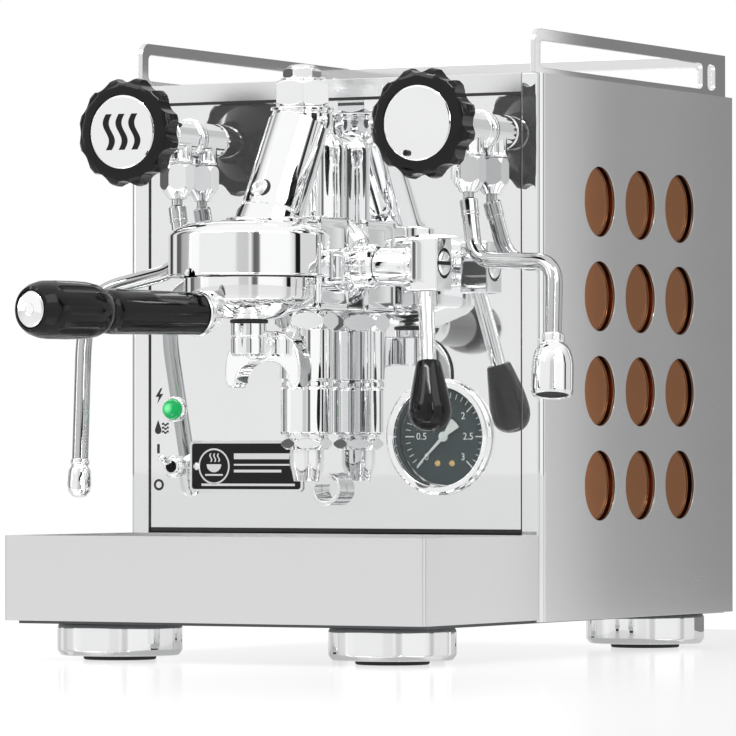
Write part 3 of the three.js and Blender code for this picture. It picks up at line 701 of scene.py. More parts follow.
    def circle_of(self, piece: Piece, spindle: Spindle, count: int) -> Piece:
        """Repeat a piece in a full circle, as one object.

        Args:
            piece: the piece to repeat.
            spindle: the circle's axis.
            count: how many there are.

        Returns:
            The same piece, with its repeats.
        """
        self.hold(piece)
        bpy.ops.object.mode_set(mode="EDIT")
        bpy.ops.mesh.select_all(action="SELECT")
        centre = self.datum.at(spindle.foot)
        bpy.ops.mesh.spin(
            steps=count, angle=math.tau, center=centre, axis=spindle.along, dupli=True
        )
        self._tidy_skin()
        return piece

    def pick_faces(self, piece: Piece, test: Callable[[Vector, Vector], bool]) -> None:
        """Open a piece with only the faces that pass a test selected.

        Args:
            piece: the piece, left in edit mode.
            test: says from a face's middle and normal whether it is wanted.
        """
        self.hold(piece)
        bpy.ops.object.mode_set(mode="EDIT")
        bpy.ops.mesh.select_mode(type="FACE")
        bpy.ops.mesh.select_all(action="DESELECT")
        bpy.ops.object.mode_set(mode="OBJECT")
        for face in piece.data.polygons:
            face.select = test(face.center, face.normal)
        bpy.ops.object.mode_set(mode="EDIT")

    def pick_edges(self, piece: Piece, test: Callable[[Vector, Vector], bool]) -> None:
        """Open a piece with only the edges that pass a test selected.

        Args:
            piece: the piece, left in edit mode.
            test: says from an edge's two ends whether it is wanted.
        """
        self.hold(piece)
        bpy.ops.object.mode_set(mode="EDIT")
        bpy.ops.mesh.select_mode(type="EDGE")
        bpy.ops.mesh.select_all(action="DESELECT")
        bpy.ops.object.mode_set(mode="OBJECT")
        points = piece.data.vertices
        for edge in piece.data.edges:
            edge.select = test(*(points[index].co for index in edge.vertices))
        bpy.ops.object.mode_set(mode="EDIT")

    def close(self, piece: Piece) -> Piece:
        """Leave edit mode.

        Args:
            piece: the piece that was open.

        Returns:
            The same piece.
        """
        bpy.ops.object.mode_set(mode="OBJECT")
        return piece

    def copy(self, piece: Piece, name: str, shift: Point) -> Piece:
        """Copy a piece, with its own mesh, to another place.

        Args:
            piece: the piece.
            name: the copy's name.
            shift: how far the copy is moved, in millimetres.

        Returns:
            The copy.
        """
        self.hold(piece)
        bpy.ops.object.duplicate(linked=False)
        bpy.context.active_object.location = Vector(shift) * MM
        return self._take(name)

    def finish(self, piece: Piece, finish: Finish, body: str, *nodes: str) -> Piece:
        """Dress a piece and fix it to its body.

        Args:
            piece: the piece.
            finish: its finish.
            body: the body that it rides on.
            nodes: the CAD nodes that it stands for.

        Returns:
            The same piece.
        """
        self.hold(piece)
        bpy.ops.object.shade_smooth_by_angle(angle=math.radians(32))
        level = piece.modifiers.new("level_faces", "WEIGHTED_NORMAL")
        level.keep_sharp = True
        bpy.ops.object.modifier_apply(modifier=level.name)
        piece.data.materials.clear()
        piece.data.materials.append(self.palette.material(finish))
        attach(piece, body)
        if nodes:
            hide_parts(*nodes)
        log.info("%s rides on %s", piece.name, body)
        return piece

    def reface(
        self, piece: Piece, finish: Finish, test: Callable[[Vector, Vector], bool]
    ) -> None:
        """Give the faces of a dressed piece that pass a test another finish.

        Args:
            piece: the piece.
            finish: the other finish.
            test: says from a face's middle and normal whether it is one of them.
        """
        piece.data.materials.append(self.palette.material(finish))
        for face in piece.data.polygons:
            if test(face.center, face.normal):
                face.material_index = len(piece.data.materials) - 1

    def dress(self, finish: Finish, *nodes: str) -> None:
        """Give shown CAD nodes a finish.

        Args:
            finish: the finish.
            nodes: the nodes' names.
        """
        for name in nodes:
            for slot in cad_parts[name].material_slots:
                slot.material = self.palette.material(finish)
            log.info("%s is dressed", name)


def rounded_route(corners: Sequence[Vector], bend: float, steps: int = 14) -> list[Vector]:
    """Round the corners of a route.

    Args:
        corners: the route's corners.
        bend: how far from a corner its bend starts and ends.
        steps: how many steps make one bend.

    Returns:
        The points of the rounded route.
    """
    route = [corners[0]]
    for before, corner, after in zip(corners, corners[1:], corners[2:]):
        into, away = before - corner, after - corner
        start = corner + into.normalized() * min(bend, into.length * 0.49)
        end = corner + away.normalized() * min(bend, away.length * 0.49)
        for step in range(steps + 1):
            t = step / steps
            route.append(start.lerp(corner, t).lerp(corner.lerp(end, t), t))
    return [*route, corners[-1]]


def polar(radius: float, angle: float) -> tuple[float, float]:
    """The point at a radius and an angle in degrees."""
    return radius * math.cos(math.radians(angle)), radius * math.sin(math.radians(angle))


# ---- casing ----------------------------------------------------------------------------


@dataclass
class Casing:
    """The folded steel casing: side panels, deck, mirror panel, back and chassis."""

    bench: Bench
    half_width: float = 137.0
    depth: float = 267.5
    bottom: float = 21.8
    top: float = 337.4
    corner: float = 4.5
    sheet: float = 1.5
    lip: float = 13.0
    hole_radius: float = 20.5
    hole_pitch: float = 55.4
    first_hole: tuple[float, float] = (76.7, 266.2)
    panel_half_width: float = 123.7
    panel_top: float = 326.6

    def build(self) -> None:
        """Model and dress the casing."""
        for side in Side:
            self.side_panel(side)
        self.seals()
        self.back_screws()
        self.bench.dress(MIRROR_STEEL, "front_panel")
        self.bench.dress(DECK_STEEL, "top_deck")
        self.bench.dress(SIDE_STEEL, "rear_panel", "cup_tray")
        self.bench.dress(COPPER, "left_copper_liner", "right_copper_liner", "boiler")
        self.bench.dress(GREY_PAINT, "chassis_pan")
        self.bench.dress(TANK_PLASTIC, "water_tank", "tank_front_wall", "tank_rear_wall")
        self.bench.dress(BRASS, "pump")
        self.bench.dress(BLACK_PLASTIC, "mains_inlet")

    def _fold(self, name: str, side: Side, reach: float, y: tuple[float, float],
              z: tuple[float, float], radius: float) -> Piece:
        """A block with its two outer upright edges rounded, to make one skin of a fold.

        Args:
            name: Name of the new block.
            side: Which side of the machine the fold is on.
            reach: Distance of the outer face from the middle plane, in mm.
            y: Front and rear of the block, in mm.
            z: Foot and top of the block, in mm.
            radius: Radius of the fold, in mm.

        Returns:
            The rounded block.
        """
        w = self.half_width
        inner = side.value * (w - self.lip - 10 * (reach < w))
        outer = side.value * reach
        low, high = min(inner, outer), max(inner, outer)
        block = self.bench.brick(name, (low, y[0], z[0]), (high, y[1], z[1]), rim=0)
        outer_x = self.bench.datum.at((outer, 0, 0)).x
        self.bench.pick_edges(block, lambda a, b: (
            abs(a.x - outer_x) < WELD and abs(b.x - outer_x) < WELD and abs(a.y - b.y) < WELD
        ))
        bpy.ops.mesh.bevel(offset=radius * MM, segments=8, affect="EDGES")
        return self.bench.close(block)

    def side_panel(self, side: Side) -> None:
        """A folded side panel with its field of round holes.

        Args:
            side: Which side of the machine the panel is on.
        """
        w, s = self.half_width, self.sheet
        panel = self._fold(f"{side.word}_side_sheet", side, w, (0, self.depth),
                           (self.bottom, self.top), self.corner)
        room = self._fold("side_room", side, w - s, (s, self.depth - s),
                          (self.bottom - 5, self.top + 5), self.corner - s)
        self.bench.carve(panel, room)
        y, z = self.first_hole
        x0, x1 = side.value * (w - 6), side.value * (w + 6)
        punch = self.bench.rod("hole_punch", (x0, y, z), (x1, y, z), self.hole_radius, sides=72)
        row = [punch] + [
            self.bench.copy(punch, "hole_punch", (0, column * self.hole_pitch, 0))
            for column in (1, 2)
        ]
        field_ = [
            self.bench.copy(one, "hole_punch", (0, 0, -line * self.hole_pitch))
            for line in (1, 2, 3) for one in row
        ]
        self.bench.carve(panel, self.bench.weld(*row, *field_))
        self.bench.soften(panel, 0.25, angle=50, segments=2)
        self.bench.finish(panel, SIDE_STEEL, "machine", f"{side.word}_side_panel")
        front = self.bench.datum.at((0, self.corner, 0)).y
        back = self.bench.datum.at((0, self.depth - self.corner, 0)).y
        self.bench.reface(panel, MIRROR_STEEL, lambda middle, normal: (
            middle.y < front and normal.y < 0.02
        ))
        # Painted shade: the walls of the holes take the black rubber, so each hole shows a dark crescent
        # where the wall would reflect the dark inside of the casing.
        self.bench.reface(panel, RUBBER_AND_PAINTED_SHADE, lambda middle, normal: (
            abs(normal.x) < 0.3 and front < middle.y < back
            and 2 * self.bottom < middle.z / MM < self.top - 2 * self.bottom
        ))

    def seals(self) -> None:
        """The dark seams above and below the mirror panel."""
        w, top = self.panel_half_width, self.panel_top
        upper = self.bench.brick("panel_top_seam", (-w, 0.2, top - 1.4), (w, 0.95, top + 0.3), 0.15)
        self.bench.finish(upper, RUBBER_AND_PAINTED_SHADE, "machine")
        lower = self.bench.brick("panel_foot_seam", (-w, 1.2, 72.4), (w, 2.4, 74.9), 0.15)
        self.bench.finish(lower, RUBBER_AND_PAINTED_SHADE, "machine")
        for side in Side:
            x0, x1 = sorted((side.value * (w - 0.6), side.value * (w + 0.6)))
            upright = self.bench.brick(f"panel_{side.word}_seam", (x0, 0.25, 74.9), (x1, 0.95, top), 0.15)
            self.bench.finish(upright, RUBBER_AND_PAINTED_SHADE, "machine")

    def back_screws(self) -> None:
        """The button screws round the rear panel."""
        back = self.depth - self.sheet - 0.3
        corners = [(x, z) for x in (-116, 0, 116) for z in (40, 180, 326)]
        first = corners[0]
        spindle = Spindle(Vector((first[0], back, first[1])), BACK)
        screw = self.bench.lathe("rear_screws", spindle, [
            (0, 0), (3.6, 0), (3.4, 0.9), (2.2, 1.7), (1.5, 1.9), (1.5, 1.0), (0, 0.8),
        ], rim=0.12, steps=24)
        others = [
            self.bench.copy(screw, "rear_screw", (x - first[0], 0, z - first[1]))
            for x, z in corners[1:]
        ]
        self.bench.finish(self.bench.weld(screw, *others), CHROME, "machine")


@dataclass
class CupRail:
    """The rail of upright strips round the cup tray, with rounded windows."""

    bench: Bench
    half_width: float = 132.0
    front: float = 1.0
    back: float = 265.0
    foot: float = 337.7
    top: float = 363.5
    band: float = 6.7
    sill: float = 3.5
    thickness: float = 3.0
    corner: float = 8.0

    def build(self) -> None:
        """Model and dress the rail."""
        strips = [self._side(side) for side in Side]
        rear = self._window((-114.5, 114.5), (self.back - 8, self.back + 8), across=True)
        w = self.half_width - 1
        plate = self.bench.brick("rear_strip", (-w, self.back - 3.2, self.foot),
                                 (w, self.back - 0.2, self.top), 0)
        self.bench.carve(plate, rear)
        rail = self.bench.weld(*strips, plate)
        rail.name = "cup_rail_strips"
        self.bench.soften(rail, 0.35, angle=40, segments=2)
        self.bench.finish(rail, RAIL_STEEL, "machine", "cup_rail")

    def _window(self, along: tuple[float, float], deep: tuple[float, float], across: bool) -> Piece:
        """A rounded cutter for one window, along the rail and through it.

        Args:
            along: Ends of the window along its strip, in mm.
            deep: The cutter's reach through the strip, in mm.
            across: Whether the strip runs from left to right.

        Returns:
            The cutter.
        """
        z0, z1 = self.foot + self.sill, self.top - self.band
        low = (along[0], deep[0], z0) if across else (deep[0], along[0], z0)
        high = (along[1], deep[1], z1) if across else (deep[1], along[1], z1)
        cutter = self.bench.brick("window_cutter", low, high, 0)
        if across:
            self.bench.pick_edges(cutter, lambda a, b: abs(a.x - b.x) < WELD and abs(a.z - b.z) < WELD)
        else:
            self.bench.pick_edges(cutter, lambda a, b: abs(a.y - b.y) < WELD and abs(a.z - b.z) < WELD)
        bpy.ops.mesh.bevel(offset=3.5 * MM, segments=8, affect="EDGES")
        return self.bench.close(cutter)

    def _side(self, side: Side) -> Piece:
        """One side strip with its long window and its slot near the rear.

        Args:
            side: Which side of the machine the strip is on.

        Returns:
            The strip with its openings cut.
        """
        x0, x1 = sorted((side.value * self.half_width, side.value * (self.half_width - self.thickness)))
        strip = self.bench.brick("side_strip", (x0, self.front, self.foot), (x1, self.back, self.top), 0)
        front_y = self.bench.datum.at((0, self.front, 0)).y
        top_z = self.top * MM
        self.bench.pick_edges(strip, lambda a, b: (
            max(abs(a.y - front_y), abs(b.y - front_y)) < WELD
            and min(a.z, b.z) > top_z - WELD
        ))
        bpy.ops.mesh.bevel(offset=self.corner * MM, segments=10, affect="EDGES")
        self.bench.close(strip)
        deep = (x0 - 5, x1 + 5)
        self.bench.carve(strip, self._window((8.5, 231.5), deep, across=False))
        return self.bench.carve(strip, self._window((239.0, 250.0), deep, across=False))


@dataclass
class Feet:
    """Four round polished feet on rubber pads."""

    bench: Bench
    radius: float = 36.2
    half_pitch: float = 88.9
    ends: tuple[tuple[str, float], ...] = (("front", -93.0), ("rear", 240.0))

    def build(self) -> None:
        """Model one foot and its pad, and copy them to the other places."""
        r = self.radius
        start = Vector((-self.half_pitch, self.ends[0][1], 0.0))
        foot = self.bench.lathe("foot", Spindle(start), [
            (0, 2.3), (r - 8, 2.3), (r - 2.2, 2.6), (r, 5.6), (r, 18.9), (r - 1.3, 20.9), (0, 20.9),
        ], rim=0.7, steps=96)
        pad = self.bench.lathe("foot_pad", Spindle(start), [
            (0, 0.4), (12, 0.4), (12.6, 0), (15.4, 0), (16, 0.4), (17.4, 0.4), (18, 0), (20.2, 0),
            (21, 0.6), (21, 2.0), (0, 2.0),
        ], steps=48)
        for word, y in self.ends:
            for side in Side:
                shift = (side.value * self.half_pitch - start.x, y - start.y, 0)
                node = f"{word}_{side.word}_foot"
                for pattern, finish, ending in ((foot, CHROME, ""), (pad, RUBBER_AND_PAINTED_SHADE, "_pad")):
                    piece = self.bench.copy(pattern, f"{node}{ending}_turned", shift)
                    self.bench.finish(piece, finish, "machine", node + ending)
        bpy.data.objects.remove(foot)
        bpy.data.objects.remove(pad)


@dataclass
class DripTray:
    """The drawer-like tray under the group, and its slotted grate."""

    bench: Bench
    half_width: float = 136.0
    front: float = -144.5
    back: float = -0.6
    bottom: float = 23.1
    top: float = 71.8
    wall: float = 5.0
    floor: float = 30.0
    grate_top: float = 69.0
    grate_thickness: float = 2.0

    def build(self) -> None:
        """Model the tray and dress the grate."""
        w = self.half_width
        tray = self.bench.brick("tray_shell", (-w, self.front, self.bottom), (w, self.back, self.top), 0)
        self.bench.pick_edges(tray, lambda a, b: abs(a.x - b.x) < WELD and abs(a.y - b.y) < WELD)
        bpy.ops.mesh.bevel(offset=2.6 * MM, segments=8, affect="EDGES")
        self.bench.close(tray)
        self.bench.pick_faces(tray, lambda middle, normal: normal.z > 0.9)
        bpy.ops.mesh.inset(thickness=self.wall * MM, depth=0.0)
        bpy.ops.mesh.extrude_region_move(
            TRANSFORM_OT_translate={"value": (0, 0, (self.floor - self.top) * MM)}
        )
        self.bench.close(tray)
        self.bench.soften(tray, 0.6, angle=50)
        self.bench.finish(tray, TRAY_STEEL, "tray", "drip_tray")
        self.ledges()
        self.grate()

    def ledges(self) -> None:
        """The two ledges inside the tray that carry the grate."""
        top = self.grate_top - self.grate_thickness - 0.3
        inner = self.half_width - self.wall
        front, back = self.front + self.wall, self.back - self.wall
        shelves = []
        for side in Side:
            x0, x1 = sorted((side.value * inner, side.value * (inner - 6)))
            shelves.append(self.bench.brick("tray_ledges", (x0, front, top - 4), (x1, back, top), 0.4))
        self.bench.finish(self.bench.weld(*shelves), TRAY_STEEL, "tray")

    def grate(self) -> None:
        """The grate: two rows of slots with rounded ends in a polished plate."""
        w = self.half_width - self.wall - 0.3
        y0, y1 = self.front + self.wall + 0.3, self.back - self.wall - 0.3
        plate = self.bench.brick("slotted_grate", (-w, y0, self.grate_top - self.grate_thickness),
                                 (w, y1, self.grate_top), 0)
        middle, pitch = (y0 + y1) / 2, (2 * w - 36) / 12
        slot = self.bench.brick("slot_cutter", (15 - w, middle - 58, self.grate_top - 6),
                                (21 - w, middle - 4, self.grate_top + 4), 0)
        self.bench.pick_edges(slot, lambda a, b: abs(a.x - b.x) < WELD and abs(a.y - b.y) < WELD)
        bpy.ops.mesh.bevel(offset=2.9 * MM, segments=5, affect="EDGES")
        self.bench.close(slot)
        pair = [slot, self.bench.copy(slot, "slot_cutter", (0, 62, 0))]
        cutters = pair + [
            self.bench.copy(one, "slot_cutter", (pitch * step, 0, 0))
            for step in range(1, 13) for one in pair
        ]
        self.bench.carve(plate, self.bench.weld(*cutters))
        self.bench.soften(plate, 0.3, angle=40, segments=2)
        self.bench.finish(plate, MIRROR_STEEL, "grate", "drip_grate")


# ---- valves and wands ------------------------------------------------------------------


@dataclass
class ValveTrain:
    """One valve: its lobed knob, body, ball nut and the top of its wand."""

    bench: Bench
    side: Side
    word: str
    arm: str
    route: tuple[tuple[float, float, float], ...]
    bend: float
    x: float = 96.6
    z: float = 305.6
    face: float = -78.0
    rim_back: float = -64.0
    hub_back: float = -50.3
    radius: float = 32.0
    lobes: int = 12
    scallop: float = 8.8
    scallop_centre: float = 37.2
    disc: float = 21.5
    joint_y: float = -13.7

    def __post_init__(self) -> None:
        """Place the valve's own axis."""
        self.axis = Spindle(Vector((self.side.value * self.x, 0.0, self.z)), BACK)
        self.joint = Spindle(Vector((self.side.value * self.x, self.joint_y, 0.0)))

    def build(self) -> None:
        """Model and dress the valve, its knob and its wand."""
        self.knob()
        self.disc_face()
        self.body()
        self.ball_nut()
        pipe = self.bench.pipe(f"{self.word}_wand_tube", self.route, self.bend, 4.8)
        x, y, top = self.route[0]
        stem = self.bench.rod("stem", (x, y, top - 6), (x, y, 280), 3.25)
        start, after = (Vector(point) for point in self.route[:2])
        collar = self.bench.lathe("collar", Spindle(start, (after - start).normalized()), [
            (0, -0.4), (4.4, -0.4), (5.3, 0.6), (5.3, 7.6), (5.0, 7.9), (5.3, 8.2), (5.3, 9.4),
            (4.6, 10), (0, 10),
        ], rim=0.15, steps=48)
        self.bench.finish(
            self.bench.weld(pipe, stem, collar), WAND_STEEL_AND_PAINTED_SHADE, self.arm, f"{self.word}_wand"
        )

    def knob(self) -> None:
        """The knob: a turned rim with scallops cut round it, on a conical hub."""
        r = self.radius
        body = f"{self.word}_handwheel"
        rim = self.bench.lathe(f"{self.word}_knob_grip", self.axis, [
            (0, self.face + 2.2), (self.disc + 0.4, self.face + 2.2), (self.disc + 0.4, self.face),
            (r - 6.2, self.face), (r - 3.2, self.face + 1.0), (r - 0.9, self.face + 3.2),
            (r, self.face + 6.0),
            (r, self.rim_back - 2.5), (r - 2, self.rim_back), (23, self.rim_back + 1.5),
            (13, self.hub_back), (0, self.hub_back),
        ], steps=96)
        x, _, z = self.axis.foot
        reach = self.scallop_centre
        cutter = self.bench.rod("scallop_cutter", (x + reach, self.face - 5, z),
                                (x + reach, self.rim_back + 5, z), self.scallop, sides=48)
        self.bench.circle_of(cutter, self.axis, self.lobes)
        self.bench.carve(rim, cutter)
        self.bench.soften(rim, 0.8, angle=34, segments=4)
        self.bench.finish(rim, BLACK_PLASTIC, body, f"{self.word}_knob")

    def disc_face(self) -> None:
        """The bright disc in the knob's face, with a fine ring turned in it."""
        d, front = self.disc, self.face - 0.5
        disc = self.bench.lathe(f"{self.word}_disc_turned", self.axis, [
            (0, front), (d - 0.9, front), (d, front + 0.6), (d, self.face + 1.9), (0, self.face + 1.9),
        ], rim=0.15, steps=96)
        self.bench.finish(disc, CHROME, f"{self.word}_handwheel", f"{self.word}_knob_disc")

    def body(self) -> None:
        """The valve body: a bar out of the panel with grooves, a collar and a branch."""
        barrel = self.bench.lathe(f"{self.word}_valve_body", self.axis, [
            (0, -50), (8.6, -50), (10, -48.6), (10, -29), (9.4, -28.4), (9.4, -27.4), (10, -26.8),
            (10, -3.4), (11, -2.8), (11.6, -1.6), (11.6, 0.7), (10, 0.7), (10, 22), (0, 22),
        ], rim=0.2)
        branch = self.bench.lathe("branch", self.joint, [
            (0, 290.3), (9, 290.3), (9.8, 291.4), (9, 293.5), (9, self.z - 2), (0, self.z - 2),
        ], rim=0.3)
        self.bench.carve(barrel, branch, Cut.ADD)
        self.bench.finish(barrel, CHROME, "machine", f"{self.word}_valve")

    def ball_nut(self) -> None:
        """The union nut over the wand's ball, flared to a collar underneath."""
        nut = self.bench.rod(f"{self.word}_union_nut", self.joint.at(0, 269),
                             self.joint.at(0, 290), 10.2, sides=6)
        blank = self.bench.lathe("nut_blank", self.joint, [
            (0, 269), (5.3, 269), (8.2, 273.2), (10.3, 276.8), (10.3, 286.4), (9.6, 288.6),
            (8.4, 290), (0, 290),
        ], rim=0.3)
        self.bench.soften(self.bench.carve(nut, blank, Cut.KEEP), 0.2)
        bore = self.bench.rod("bore", self.joint.at(0, 268), self.joint.at(0, 282), 4.65)
        self.bench.carve(nut, bore)
        self.bench.finish(nut, CHROME, "machine", f"{self.word}_ball_nut")


@dataclass
class SteamValve(ValveTrain):
    """The steam valve on the left, with its wand and tip."""

    def build(self) -> None:
        """Model the valve, the tip of its wand and the mark on its knob."""
        super().build()
        before, end = (Vector(point) for point in self.route[-2:])
        line = Spindle(end, (end - before).normalized())
        tip = self.bench.lathe("steam_tip_turned", line, [
            (0, 0.3), (5.4, 0.3), (5.6, 2.6), (5.0, 3.2), (5.0, 4.2), (6.6, 7), (7, 15),
            (6.4, 19), (4, 22), (0.9, 22.5), (0.9, 21), (0, 21),
        ], rim=0.3, steps=48)
        self.bench.finish(tip, CHROME, self.arm, "steam_tip")
        self.mark()

    def mark(self) -> None:
        """A plain steam mark, three wavy strokes, inlaid in the disc."""
        front = self.face - 0.62
        strokes = []
        for column in (-8.6, 0.0, 8.6):
            centre = [
                Vector((self.axis.foot.x + column + 2.1 * math.sin(step * math.tau / 16),
                        front, self.z - 10.5 + step * 21 / 16))
                for step in range(17)
            ]
            half = Vector((2.0, 0.0, 0.0))
            outline = [point - half for point in centre] + [point + half for point in reversed(centre)]
            strokes.append(self.bench.slab("stroke", outline, Vector((0, 0.4, 0))))
        marks = self.bench.weld(*strokes)
        marks.name = "steam_knob_mark"
        self.bench.finish(marks, BLACK_PLASTIC, "steam_handwheel")


@dataclass
class WaterValve(ValveTrain):
    """The hot-water valve on the right, with its wand and nozzle."""

    def build(self) -> None:
        """Model the valve, its nozzle and the peg in its knob."""
        super().build()
        before, end = (Vector(point) for point in self.route[-2:])
        line = Spindle(end, (end - before).normalized())
        nozzle = self.bench.lathe("water_nozzle_turned", line, [
            (0, -3.4), (5.6, -3.4), (6.4, -2.4), (6.4, 1.2), (5.9, 1.9), (8.2, 3.6), (10.4, 7.2),
            (11.5, 11.6), (11.9, 16), (11.9, 29.9), (11, 32.4), (9.5, 32.4), (9.2, 31.9),
            (9.2, 27), (0, 27),
        ], rim=0.25, steps=96)
        self.bench.finish(nozzle, CHROME, self.arm, "water_nozzle")
        screen = self.bench.lathe("nozzle_screen", line, [
            (0, 27.1), (9.1, 27.1), (9.1, 30.8), (7.8, 31.1), (0, 30.6),
        ], steps=32)
        self.bench.finish(screen, RUBBER_AND_PAINTED_SHADE, self.arm)
        peg = self.bench.lathe("water_knob_peg", Spindle(
            self.axis.foot + Vector((-6.0, self.face - 0.5, -17.0)), BACK,
        ), [(0, -2.6), (1.2, -2.5), (1.8, -1.9), (1.8, 1.0), (0, 1.0)], steps=24)
        self.bench.finish(peg, BLACK_PLASTIC, "water_handwheel")


# ---- brew group ------------------------------------------------------------------------


@dataclass
class BrewGroup:
    """The brew group: bell, slanted tower, nuts, chamber and lower valve."""

    bench: Bench
    bell_y: float = -99.4
    chamber_y: float = -31.0
    chamber_half: float = 17.0
    chamber_z: tuple[float, float] = (201.5, 256.0)
    lever_z: float = 226.7
    crown_y: float = -36.5

    def build(self) -> None:
        """Model and dress the group."""
        self.bell()
        self.tower()
        self.chamber()
        self.cap_nut()
        self.lower_valve()
        self.bench.dress(RUBBER_AND_PAINTED_SHADE, "group_gasket")
        self.bench.dress(MIRROR_STEEL, "shower_screen", "filter_basket")

    def bell(self) -> None:
        """The bell over the portafilter, hollow underneath."""
        r = 46.0
        axis = Spindle(Vector((0.0, self.bell_y, 0.0)))
        bell = self.bench.lathe("group_bell", axis, [
            (0, 251.6), (20, 251.2), (30, 250.3), (38, 248.6), (43, 246.2), (45.2, 244.2), (r, 242.2),
            (r, 220.2), (r + 0.25, 219.9), (r + 0.25, 219.2), (r, 219), (r - 1.4, 219),
            (39, 219), (39, 238), (0, 238),
        ], rim=0.35, steps=128)
        notch_at = Vector((-14.0, self.bell_y - 60.0, 218.6))
        notch = self.bench.rod("notch", notch_at, notch_at + Vector((0, 30, 0)), 4.6, sides=40)
        self.bench.carve(bell, notch)
        self.bench.finish(bell, CHROME, "machine", "group_head")

    def tower(self) -> None:
        """The slanted tower with its fillet ring, its crown and its socket screw."""
        foot, head = Vector((0.0, -78.0, 247.0)), Vector((0.0, -42.0, 306.5))
        line = Spindle(foot, (head - foot).normalized())
        length = (head - foot).length
        tower = self.bench.lathe("group_tower", line, [
            (0, -6), (20.5, -6), (19.9, 5.6), (18.9, 7.0), (18.5, 9.5), (18.4, 14), (17.8, length),
            (0, length),
        ], steps=96)
        ring = self.bench.lathe("tower_ring", Spindle(Vector((0.0, -79.0, 0.0))), [
            (0, 247), (23.6, 247), (23.6, 252.6), (22.8, 253.6), (20.4, 254), (0, 254),
        ], rim=0.3, steps=96)
        self.bench.finish(ring, CHROME, "machine")
        crown = self.bench.lathe("crown", Spindle(Vector((0.0, self.crown_y, 0.0))), [
            (0, 296), (9, 296), (15, 302), (17.8, 309), (17.8, 315.4), (17.2, 316.0), (17.2, 316.6),
            (18.3, 317.2), (18.3, 318.6), (17.8, 319.3), (0, 319.3),
        ], rim=0.2, steps=96)
        self.bench.carve(tower, crown, Cut.ADD)
        self.bench.finish(tower, CHROME, "machine")
        self.tower_screw(line)

    def tower_screw(self, line: Spindle) -> None:
        """The socket screw low on the tower's front left.

        Args:
            line: The tower's own axis.
        """
        middle = line.at(0, 16.5)
        out = Vector((-0.06, -0.86, 0.5)).normalized()
        out = (out - line.along * out.dot(line.along)).normalized()
        axis = Spindle(middle + out * 17.0, out)
        screw = self.bench.lathe("tower_screw", axis, [
            (0, -1), (5.4, -1), (5.4, 2.2), (4.6, 3.4), (3.3, 3.9), (2.9, 3.5), (2.7, 1.6), (0, 1.6),
        ], rim=0.15, steps=40)
        self.bench.finish(screw, CHROME, "machine")
        washer = self.bench.lathe("tower_screw_washer", axis, [
            (0, -2), (6.6, -2), (6.6, 0.9), (6.1, 1.3), (0, 1.3),
        ], rim=0.1, steps=40)
        self.bench.finish(washer, RUBBER_AND_PAINTED_SHADE, "machine")

    def chamber(self) -> None:
        """The casting behind the bell, its rear column and the flange on the panel."""
        half, (z0, z1) = self.chamber_half, self.chamber_z
        y = self.chamber_y
        block = self.bench.brick("group_chamber", (-half, y - half, z0), (half, -8, z1), 0)
        self.bench.soften(block, 3.2, segments=3)
        self.bench.pick_faces(block, lambda middle, normal: normal.y < -0.9 or abs(normal.x) > 0.9)
        bpy.ops.mesh.inset(thickness=3.4 * MM, depth=-1.2 * MM, use_individual=True)
        self.bench.close(block)
        self.bench.soften(block, 0.4, angle=30)
        neck = self.bench.brick("neck", (-16, self.bell_y + 20, 241), (16, y, z1 - 2), 3.0)
        self.bench.finish(self.bench.weld(block, neck), CHROME, "machine")
        column = self.bench.lathe("group_column", Spindle(Vector((0.0, -14.5, 0.0))), [
            (0, 250), (14.5, 250), (14.5, 296), (13.6, 300.5), (10.5, 304.2), (5, 305.8), (0, 306),
        ], steps=64)
        self.bench.finish(column, CHROME, "machine")
        flange = self.bench.lathe("group_flange", Spindle(Vector((0.0, 0.0, 232.0)), BACK), [
            (0, -9), (22, -9), (23, -6), (25.2, -3.4), (26, -2.2), (26, 0.6), (22, 0.7), (22, 30), (0, 30),
        ], rim=0.3, steps=96)
        self.bench.finish(flange, CHROME, "machine")
        self.bonnet()

    def bonnet(self) -> None:
        """The square bonnet and chamfered collar that the lever's shaft comes out of."""
        y, z = self.chamber_y, self.lever_z
        box_ = self.bench.brick("lever_bonnet", (16, y - 10, z - 10), (30, y + 10, z + 10), 0)
        self.bench.soften(box_, 2.0, segments=3)
        axis = Spindle(Vector((0.0, y, z)), RIGHT)
        ring = self.bench.lathe("bonnet_ring", axis, [
            (0, 29), (9.2, 29), (9.2, 32.5), (11.6, 33.4), (13, 35), (13, 41), (12.2, 41.6),
            (12.2, 42.4), (13, 43), (13, 45.5), (11.4, 47.5), (0, 47.5),
        ], rim=0.25)
        self.bench.finish(self.bench.weld(box_, ring), CHROME, "machine")

    def cap_nut(self) -> None:
        """The big cap nut and the bolt on top of the tower."""
        axis = Spindle(Vector((0.0, self.crown_y, 0.0)))
        nut = self.bench.nut("group_cap_hexagon", axis, 319.6, 334.6, 17.5, 2.2, turn=30)
        washer = self.bench.lathe("washer", axis, [
            (0, 334.2), (12.4, 334.2), (12.4, 335.6), (11.6, 336.2), (0, 336.2),
        ], rim=0.2)
        bolt = self.bench.nut("bolt", axis, 335.8, 341.8, 11.2, 1.3)
        dome = self.bench.lathe("dome", axis, [
            (0, 341), (9.2, 341), (8.6, 342.6), (6.4, 343.8), (3, 344.3), (0, 344.4),
        ], steps=48)
        self.bench.finish(
            self.bench.weld(nut, washer, bolt, dome), CHROME, "machine", "group_cap_nut"
        )

